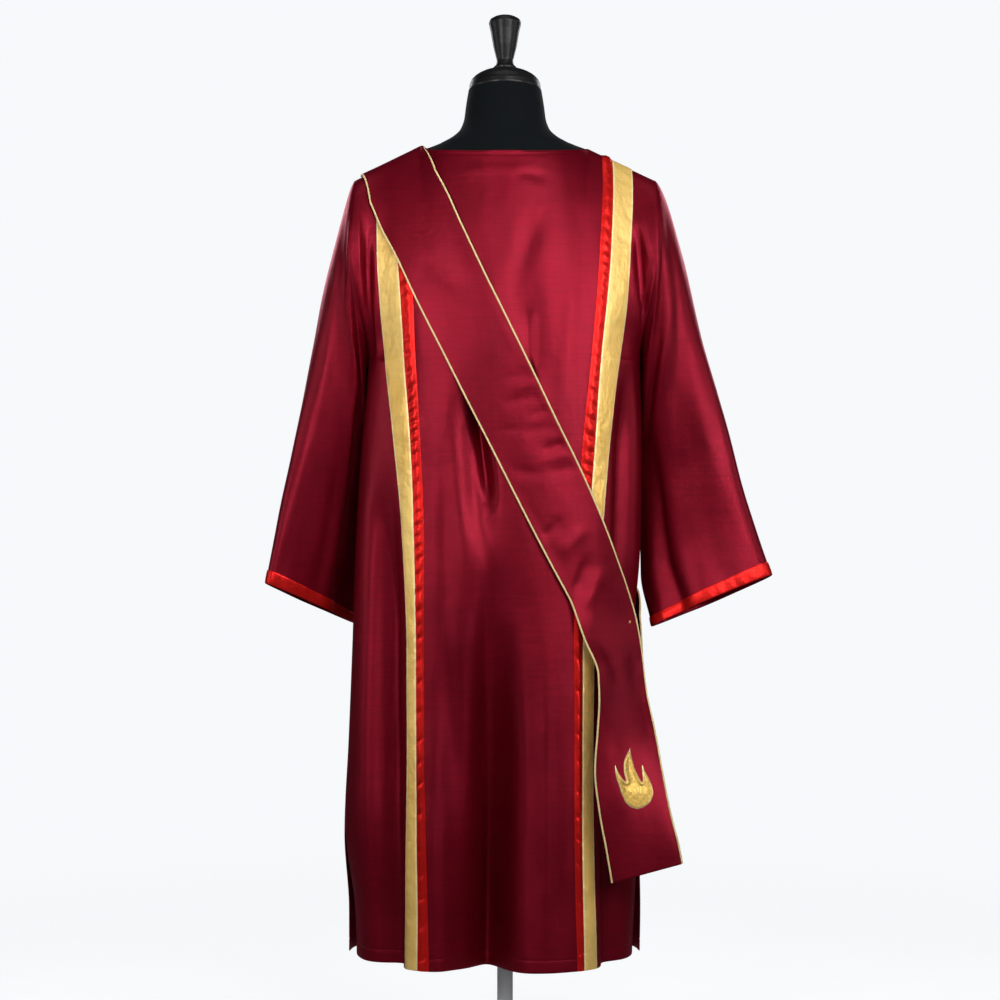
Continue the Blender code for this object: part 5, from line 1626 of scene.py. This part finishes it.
def flame_outline():
    """The flame's edge as many points, sharp only at its foot and at the tips of its tongues."""
    side = np.array(FLAME_SIDE)
    last = len(side) - 1
    fine = np.linspace(0.0, last, FLAME_FINE * last + 1)
    right = np.stack([np.interp(fine, np.arange(last + 1.0), side[:, axis]) for axis in range(2)], axis=-1)
    tip = FLAME_TIP * FLAME_FINE
    for _ in range(FLAME_ROUNDS):
        kept = right[tip].copy()
        right[1:-1] = softened(right)
        right[tip] = kept
    left = right[1:-1][::-1] * np.array([-1.0, 1.0])
    outline = np.concatenate([right, left])
    outline[:, 0] += FLAME_SWAY * np.sin(2.0 * np.pi * np.clip(outline[:, 1], 0.0, 1.0))
    return outline


def on_grid(grid, row, column):
    """Points of a grid at real-numbered rows and columns."""
    row = np.clip(row, 0.0, grid.shape[0] - LAST_CELL)
    column = np.clip(column, 0.0, grid.shape[1] - LAST_CELL)
    top = row.astype(int)
    left = column.astype(int)
    down = (row - top)[:, None]
    across = (column - left)[:, None]
    near = grid[top, left] * (1 - across) + grid[top, left + 1] * across
    far = grid[top + 1, left] * (1 - across) + grid[top + 1, left + 1] * across
    return near * (1 - down) + far * down


def flame_cells(edge, size):
    """Flat points and triangles that fill the flame's edge, and each point's distance from it."""
    across = np.arange(-0.5, 0.5, FLAME_STEP / FLAME_WIDTH)
    up = np.arange(0.0, 1.0, FLAME_STEP / FLAME_HEIGHT)
    inside = np.array([(x, y) for x in across for y in up]) * size
    nearest = np.linalg.norm(inside[:, None] - edge[None], axis=-1).min(axis=1)
    inside = inside[nearest > FLAME_STEP * FLAME_CLEAR]
    flat = [Vector(point) for point in np.concatenate([edge, inside]).tolist()]
    count = len(edge)
    rim = [(i, (i + 1) % count) for i in range(count)]
    made = geometry.delaunay_2d_cdt(flat, rim, [list(range(count))], 1, FLAME_MERGE)
    places = np.array([tuple(point) for point in made[0]])
    apart = np.linalg.norm(places[:, None] - edge[None], axis=-1).min(axis=1)
    return places, [tuple(face) for face in made[2]], apart


def add_flame(outer, normals):
    """The embroidered flame: a low padded shape on the sash's end, domed in from its edge."""
    size = np.array([FLAME_WIDTH, FLAME_HEIGHT])
    places, triangles, apart = flame_cells(flame_outline() * size, size)
    ridge = np.sqrt(np.clip(apart / FLAME_CORD, 0.0, 1.0)) * (apart >= ON_RIM)
    dome = FLAME_CORD_RISE * ridge - FLAME_SINK * smooth_step((apart - FLAME_CORD) / FLAME_SINK_OVER)
    run = arc_places(outer)
    heights = outer[:, outer.shape[1] // 2, 2]
    width = float(run[-1, -1, 0] - run[-1, 0, 0])
    wanted = FLAME_Z + places[:, 1] - FLAME_HEIGHT / 2.0
    row = np.interp(wanted, heights[::-1], np.arange(len(heights))[::-1])
    columns = (run[-1, :, 0] - run[-1, 0, 0]) / width
    column = np.interp(FLAME_ACROSS + places[:, 0] / width, columns, np.arange(len(columns)))
    base = on_grid(outer, row, column)
    up = unit(on_grid(normals, row, column))
    points = np.concatenate([base + up * (FLAME_PAD + dome)[:, None], base + up * FLAME_FOOT])
    shift = len(places)
    faces = triangles + [tuple(i + shift for i in face[::-1]) for face in triangles]
    border = dict.fromkeys(pair for a, b, c in triangles for pair in ((a, b), (b, c), (c, a)))
    faces += [(b, a, a + shift, b + shift) for a, b in border if (b, a) not in border]
    slant = places[:, 1] - places[:, 0] * FLAME_SLANT
    cloth = np.stack([places[:, 0] * FLAME_SQUEEZE, slant, apart], axis=-1)
    cloth = np.concatenate([cloth, cloth])
    piece = add_mesh("flame_embroidery", points, facing_out(points, faces), cloth, sharp_degrees=50.0)
    finish = thread_finish(
        "laid_gold_thread", colour_of("thread"), 0.0012, (0.28, 0.42), 0.50, colour_of("flame_cord"))
    finish_piece(piece, finish, "gold_thread", "stole_flame")


# ---- dress form and stand
class DALMATIC_OT_form(bpy.types.Operator):
    """The padded torso under the dalmatic, from its flat underside to the neck's tilted top"""

    bl_idname = "dalmatic.form"
    bl_label = "Dress form"

    neck_cells = 28
    shoulder_cells = 10

    def execute(self, context):
        angles = np.arange(self.neck_cells + 1) * np.pi / self.neck_cells
        outer = np.linspace(NECK_SHARE, FORM_SHARE, self.shoulder_cells + 1)[1:]
        columns = np.concatenate([-outer[::-1], -NECK_SHARE * np.cos(angles), outer])
        bottom = 1.0 + (UNDERARM_Z - FORM_BOTTOM_Z) / (UNDERARM_Z - HEM_Z)
        lower = np.linspace(1.0, bottom, FORM_LOWER_ROWS + 1)[1:]
        down = np.concatenate([np.linspace(0.0, 1.0, FORM_ROWS + 1), lower])
        sheets = {panel: self.sheet(panel, columns, down) for panel in SIDE}
        points = []
        rows = self.body_rows(columns, down, sheets, points)
        faces = []
        for upper, lower in zip(rows, rows[1:]):
            faces += ring_faces(upper, lower)
        hub = len(points)
        points.append(np.array([0.0, 0.0, FORM_BOTTOM_Z]))
        last = rows[-1]
        faces += [(last[i], last[(i + 1) % len(last)], hub) for i in range(len(last))]
        self.add_neck(rows[0], len(columns), points, faces)
        points = np.array(points)
        piece = add_mesh("dress_form", points, facing_out(points, faces))
        finish_piece(piece, jersey("knitted_jersey"), "black_jersey", "form_torso")
        return {"FINISHED"}

    def sheet(self, panel, columns, down):
        grid_down, grid_across = np.meshgrid(down, columns, indexing="ij")
        inset = FORM_CLEARANCE + FORM_SLIM * smooth_step(grid_down / FORM_SLIM_FULL)
        neck_room = FORM_NECK_ROOM * np.sqrt(neck_arc(grid_across))
        inset = inset + neck_room * (1.0 - smooth_step(grid_down / FORM_NECK_ROOM_ENDS))
        surface = envelope(panel, grid_across, grid_down)
        surface = surface - outward(panel, envelope, grid_across, grid_down) * inset[..., None]
        for axis in (0, 1):
            surface[..., axis] *= read(FORM_SHARES, axis + 1, surface[..., 2])
        surface[-1, :, 2] = FORM_BOTTOM_Z
        return surface

    def body_rows(self, columns, down, sheets, points):
        """Rows of point numbers round the torso; the back and the front share their shoulder seam."""
        ridge = np.abs(columns) > NECK_SHARE - ON_SEAM
        rows = []
        for row in range(len(down)):
            ids = {"back": [], "front": []}
            for column in range(len(columns)):
                for panel in SIDE:
                    if row == 0 and ridge[column] and panel == "front":
                        ids["front"].append(ids["back"][column])
                        continue
                    point = sheets[panel][row, column].copy()
                    if row == 0 and ridge[column]:
                        point[1] = 0.0
                    ids[panel].append(len(points))
                    points.append(point)
            rows.append(ids["back"] + ids["front"][::-1])
        return rows

    def add_neck(self, first_row, width, points, faces):
        """Rings of points up the neck, each tilted a little more, and the flat top."""
        first = self.shoulder_cells
        count = self.neck_cells + 1
        start = 2 * width - first - count
        loop = first_row[first : first + count] + first_row[start + 1 : start + count - 1]
        angles = np.arange(2 * self.neck_cells) * np.pi / self.neck_cells
        low = NECK_RINGS[0][0]
        above = np.linspace(NECK_BEND_Z, NECK_TOP_Z, NECK_UPPER_ROWS + 1)[1:]
        for z in np.concatenate([np.linspace(low, NECK_BEND_Z, NECK_LOWER_ROWS + 1), above]):
            half_width = read(NECK_RINGS, 1, z)
            half_depth = read(NECK_RINGS, 2, z)
            tilt = math.tan(NECK_TILT) * smooth_step((z - low) / NECK_TILT_GROWS)
            ring = []
            for angle in angles:
                y = -half_depth * math.sin(angle)
                ring.append(len(points))
                points.append(np.array([-half_width * math.cos(angle), y, z - y * float(tilt)]))
            faces += ring_faces(ring, loop)
            loop = ring
        hub = len(points)
        points.append(np.array([0.0, 0.0, NECK_TOP_Z]))
        faces += [(loop[(i + 1) % len(loop)], loop[i], hub) for i in range(len(loop))]


def ring_faces(upper, lower):
    """Triangles between two closed loops of the same count, without those of no width."""
    faces = []
    count = len(upper)
    for i in range(count):
        j = (i + 1) % count
        for face in ((upper[i], upper[j], lower[j]), (upper[i], lower[j], lower[i])):
            if len(set(face)) == 3:
                faces.append(face)
    return faces


def smooth_profile(profile, steps, sharp=()):
    """More points along a turned profile, rounded everywhere but at its sharp places."""
    inner = np.array(profile[1:-1])
    run = lengths_along(inner)
    fine = np.unique(np.concatenate([run, np.linspace(0.0, run[-1], steps)]))
    radius = np.interp(fine, run, inner[:, 0])
    height = np.interp(fine, run, inner[:, 1])
    keep = np.isin(fine, [run[i] for i in (0, len(run) - 1, *sharp)])
    for _ in range(PROFILE_ROUNDS):
        for values in (radius, height):
            values[1:-1] = np.where(keep[1:-1], values[1:-1], softened(values))
    return [profile[0], *zip(radius.tolist(), height.tolist()), profile[-1]]


def rounded_foot(radius, edge):
    return [(radius - edge, 0.0), (radius - ROUNDING * edge, ROUNDING * edge), (radius, edge)]


class DALMATIC_OT_neck_cap(bpy.types.Operator):
    """The domed neck cap and its turned finial, both square to the neck's tilted top"""

    bl_idname = "dalmatic.neck_cap"
    bl_label = "Neck cap and finial"

    def execute(self, context):
        dome = []
        for step in range(1, CAP_STEPS + 1):
            angle = math.acos(CAP_FLAT_RADIUS / CAP_RADIUS) * step / CAP_STEPS
            height = CAP_RIM + (CAP_HEIGHT - CAP_RIM) * math.sin(angle)
            dome.append((CAP_RADIUS * math.cos(angle), height))
        top = dome[-1][1]
        foot = rounded_foot(CAP_RADIUS, CAP_EDGE)
        lip = [(CAP_RADIUS, CAP_RIM - CAP_EDGE), (CAP_RADIUS - CAP_LIP, CAP_RIM)]
        cap = add_turned("form_cap", [(0.0, 0.0), *foot, *lip, *dome, (0.0, top)], CAP_SIDES)
        profile = smooth_profile(FINIAL_PROFILE, FINIAL_STEPS, FINIAL_SHARP)
        finial = add_turned("form_finial", profile, FINIAL_SIDES)
        cos = math.cos(-NECK_TILT)
        sin = math.sin(-NECK_TILT)
        tilt = np.array([[1, 0, 0], [0, cos, -sin], [0, sin, cos]])
        for piece, height, node in ((cap, SEAM_GAP, "neck_cap"), (finial, top + 2 * SEAM_GAP, "neck_finial")):
            points = np.array([vertex.co for vertex in piece.data.vertices]) + np.array([0.0, 0.0, height])
            points = points @ tilt.T + np.array([0.0, 0.0, NECK_TOP_Z])
            piece.data.vertices.foreach_set("co", points.astype(np.float32).ravel())
            piece.data.update()
            finish_piece(piece, lacquered_wood("lacquered_wood"), "black_lacquered_wood", node)
        return {"FINISHED"}


class DALMATIC_OT_stand(bpy.types.Operator):
    """The pole, its collar and the round base plate"""

    bl_idname = "dalmatic.stand"
    bl_label = "Stand"

    def execute(self, context):
        radius, _, top = self.room("stand_base")
        rounding = ROUNDING * BASE_BEVEL
        plate = [
            (0.0, 0.0), *rounded_foot(radius, BASE_BEVEL), (radius, top - BASE_BEVEL),
            (radius - rounding, top - rounding), (radius - BASE_BEVEL, top), (BASE_FLAT_RADIUS, top),
            (0.0, top),
        ]
        piece = add_turned("stand_foot", plate, BASE_SIDES)
        finish_piece(piece, brushed_steel("turned_steel", True), "brushed_steel", "stand_base")
        wide, foot, top = self.room("stand_collar")
        places = {"wide": wide, "narrow": wide - COLLAR_STEP, "foot": foot, "top": top}
        edge = [(places[radius] + out, places[height] + up) for radius, height, out, up in COLLAR_PROFILE]
        piece = add_turned("stand_ferrule", [(0.0, foot), *edge, (0.0, top)], COLLAR_SIDES)
        finish_piece(piece, brushed_steel("turned_steel", True), "brushed_steel", "stand_collar")
        radius, low, high = self.room("stand_pole")
        wall = [(radius, height) for height in np.linspace(low, high, POLE_CELLS + 1).tolist()]
        piece = add_turned("stand_tube", [(0.0, low), *wall, (0.0, high)], POLE_SIDES)
        finish_piece(piece, brushed_steel("drawn_steel", False), "brushed_steel", "stand_pole")
        return {"FINISHED"}

    def room(self, node):
        """Radius, foot and top of a turned node of the frame."""
        low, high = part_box(node)
        return (high.x - low.x) / 2.0, low.z, high.z


# ---- an empty step
class DALMATIC_OT_declare(bpy.types.Operator):
    """A step that does nothing and leaves the scene as it is"""

    bl_idname = "dalmatic.declare"
    bl_label = "Cut sizes"

    def execute(self, context):
        return {"FINISHED"}


# ---- studio
class DALMATIC_OT_studio(bpy.types.Operator):
    """Pale floor, soft lights, plain backdrop and the camera"""

    bl_idname = "dalmatic.studio"
    bl_label = "Studio"

    def execute(self, context):
        scene = context.scene
        settings = scene.dalmatic_studio
        scene.view_settings.view_transform = "Standard"
        camera_data = bpy.data.cameras.new("studio_camera")
        camera_data.lens = settings.lens
        camera_data.sensor_width = SENSOR_WIDTH
        camera = bpy.data.objects.new("studio_camera", camera_data)
        camera.location = (CAMERA_X, -settings.distance, settings.height)
        camera.rotation_euler = (math.radians(90.0), 0.0, 0.0)
        scene.collection.objects.link(camera)
        scene.camera = camera
        self.add_floor(settings)
        self.add_world(settings)
        for name, place, aim, size, power, share in LIGHTS:
            self.add_light(name, place, aim, size, getattr(settings, power) * share)
        return {"FINISHED"}

    def add_light(self, name, place, aim, size, power):
        light = bpy.data.lights.new(name, "AREA")
        light.shape = "SQUARE"
        light.size = size
        light.energy = power
        light.spread = LIGHT_SPREAD
        lamp = bpy.data.objects.new(name, light)
        lamp.location = place
        lamp.rotation_mode = "QUATERNION"
        lamp.rotation_quaternion = (Vector(aim) - Vector(place)).to_track_quat("-Z", "Y")
        lamp.visible_camera = False
        bpy.context.scene.collection.objects.link(lamp)

    def add_floor(self, settings):
        angles = 2.0 * np.pi * np.arange(FLOOR_SIDES) / FLOOR_SIDES
        points = [(0.0, 0.0, FLOOR_Z)]
        for share in FLOOR_RINGS:
            radius = settings.floor_radius * share
            points += [(radius * math.cos(angle), radius * math.sin(angle), FLOOR_Z) for angle in angles]
        ids = 1 + np.arange(len(points) - 1).reshape(-1, FLOOR_SIDES)
        hub = [(0, int(a), int(b)) for a, b in zip(ids[0], np.roll(ids[0], -1))]
        rings = [tuple(face) for face in np.roll(grid_quads(ids, True)[:, ::-1], 1, axis=1).tolist()]
        floor = add_mesh("studio_floor", points, hub + rings)
        floor.data.materials.append(self.floor_material(settings))

    def floor_material(self, settings):
        """Matt pale paint that fades out towards the floor's edge."""
        recipe = Recipe("pale_floor")
        place = recipe.node("ShaderNodeTexCoord").outputs["Object"]
        length = recipe.node("ShaderNodeVectorMath", operation="LENGTH")
        recipe.link(place, length.inputs[0])
        gone = settings.floor_radius * FLOOR_GONE
        fade = recipe.node(
            "ShaderNodeMapRange", interpolation_type="SMOOTHERSTEP", From_Min=FLOOR_FADES_FROM, From_Max=gone)
        recipe.link(length.outputs["Value"], fade.inputs["Value"])
        cloud = recipe.noise(place, 5.0, 4.0, 0.6)
        colour = recipe.mix(recipe.range(cloud, 0.0, 1.0, 0.3, 0.7), FLOOR_DULL, FLOOR_BRIGHT)
        recipe.link(colour, recipe.shader.inputs["Base Color"])
        recipe.shader.inputs["Roughness"].default_value = 0.7
        recipe.shader.inputs["Emission Color"].default_value = (*settings.backdrop, 1.0)
        seen = recipe.node("ShaderNodeLightPath").outputs["Is Camera Ray"]
        recipe.link(recipe.range(seen, 0.0, FLOOR_GLOW), recipe.shader.inputs["Emission Strength"])
        clear = recipe.node("ShaderNodeBsdfTransparent")
        blend = recipe.node("ShaderNodeMixShader")
        recipe.link(fade.outputs["Result"], blend.inputs["Fac"])
        recipe.link(recipe.shader.outputs["BSDF"], blend.inputs[1])
        recipe.link(clear.outputs["BSDF"], blend.inputs[2])
        output = recipe.tree.nodes["Material Output"]
        recipe.link(blend.outputs["Shader"], output.inputs["Surface"])
        return recipe.material

    def add_world(self, settings):
        """A faint even light, and the backdrop's plain colour where the camera looks past the floor."""
        world = bpy.data.worlds.new("studio_world")
        bpy.context.scene.world = world
        world.use_nodes = True
        world.node_tree.nodes.clear()
        sky = Nodes(world.node_tree)
        output = sky.node("ShaderNodeOutputWorld")
        seen = sky.node("ShaderNodeBackground", Color=(*settings.backdrop, 1.0))
        lit = sky.node("ShaderNodeBackground", Color=(*SKY_LIGHT, 1.0), Strength=SKY_STRENGTH)
        path = sky.node("ShaderNodeLightPath")
        blend = sky.node("ShaderNodeMixShader")
        sky.link(path.outputs["Is Camera Ray"], blend.inputs["Fac"])
        sky.link(lit.outputs["Background"], blend.inputs[1])
        sky.link(seen.outputs["Background"], blend.inputs[2])
        sky.link(blend.outputs["Shader"], output.inputs["Surface"])


class DALMATIC_PT_parts(bpy.types.Panel):
    """Lists the pieces of the dalmatic in the sidebar."""

    bl_idname = "DALMATIC_PT_parts"
    bl_label = "Dalmatic"
    bl_space_type = "VIEW_3D"
    bl_region_type = "UI"
    bl_category = "Dalmatic"

    def draw(self, context):
        for operator in OPERATORS:
            self.layout.operator(operator.bl_idname)
        scene = context.scene
        for settings in (scene.dalmatic_cloth, scene.dalmatic_colours, scene.dalmatic_studio):
            box = self.layout.box()
            for key in settings.__annotations__:
                box.prop(settings, key)


SETTINGS = (ClothSettings, Colours, StudioSettings)
OPERATORS = (
    DALMATIC_OT_form,
    DALMATIC_OT_neck_cap,
    DALMATIC_OT_stand,
    DALMATIC_OT_body,
    DALMATIC_OT_bands,
    DALMATIC_OT_sleeves,
    DALMATIC_OT_sash,
    DALMATIC_OT_declare,
    DALMATIC_OT_studio,
)


def register():
    for kind in (*SETTINGS, *OPERATORS, DALMATIC_PT_parts):
        bpy.utils.register_class(kind)
    bpy.types.Scene.dalmatic_cloth = PointerProperty(type=ClothSettings)
    bpy.types.Scene.dalmatic_colours = PointerProperty(type=Colours)
    bpy.types.Scene.dalmatic_studio = PointerProperty(type=StudioSettings)


def unregister():
    del bpy.types.Scene.dalmatic_studio
    del bpy.types.Scene.dalmatic_colours
    del bpy.types.Scene.dalmatic_cloth
    for kind in reversed((*SETTINGS, *OPERATORS, DALMATIC_PT_parts)):
        bpy.utils.unregister_class(kind)


def main():
    register()
    for step in OPERATORS:
        group, name = step.bl_idname.split(".")
        getattr(getattr(bpy.ops, group), name)()


if __name__ == "__main__":
    main()
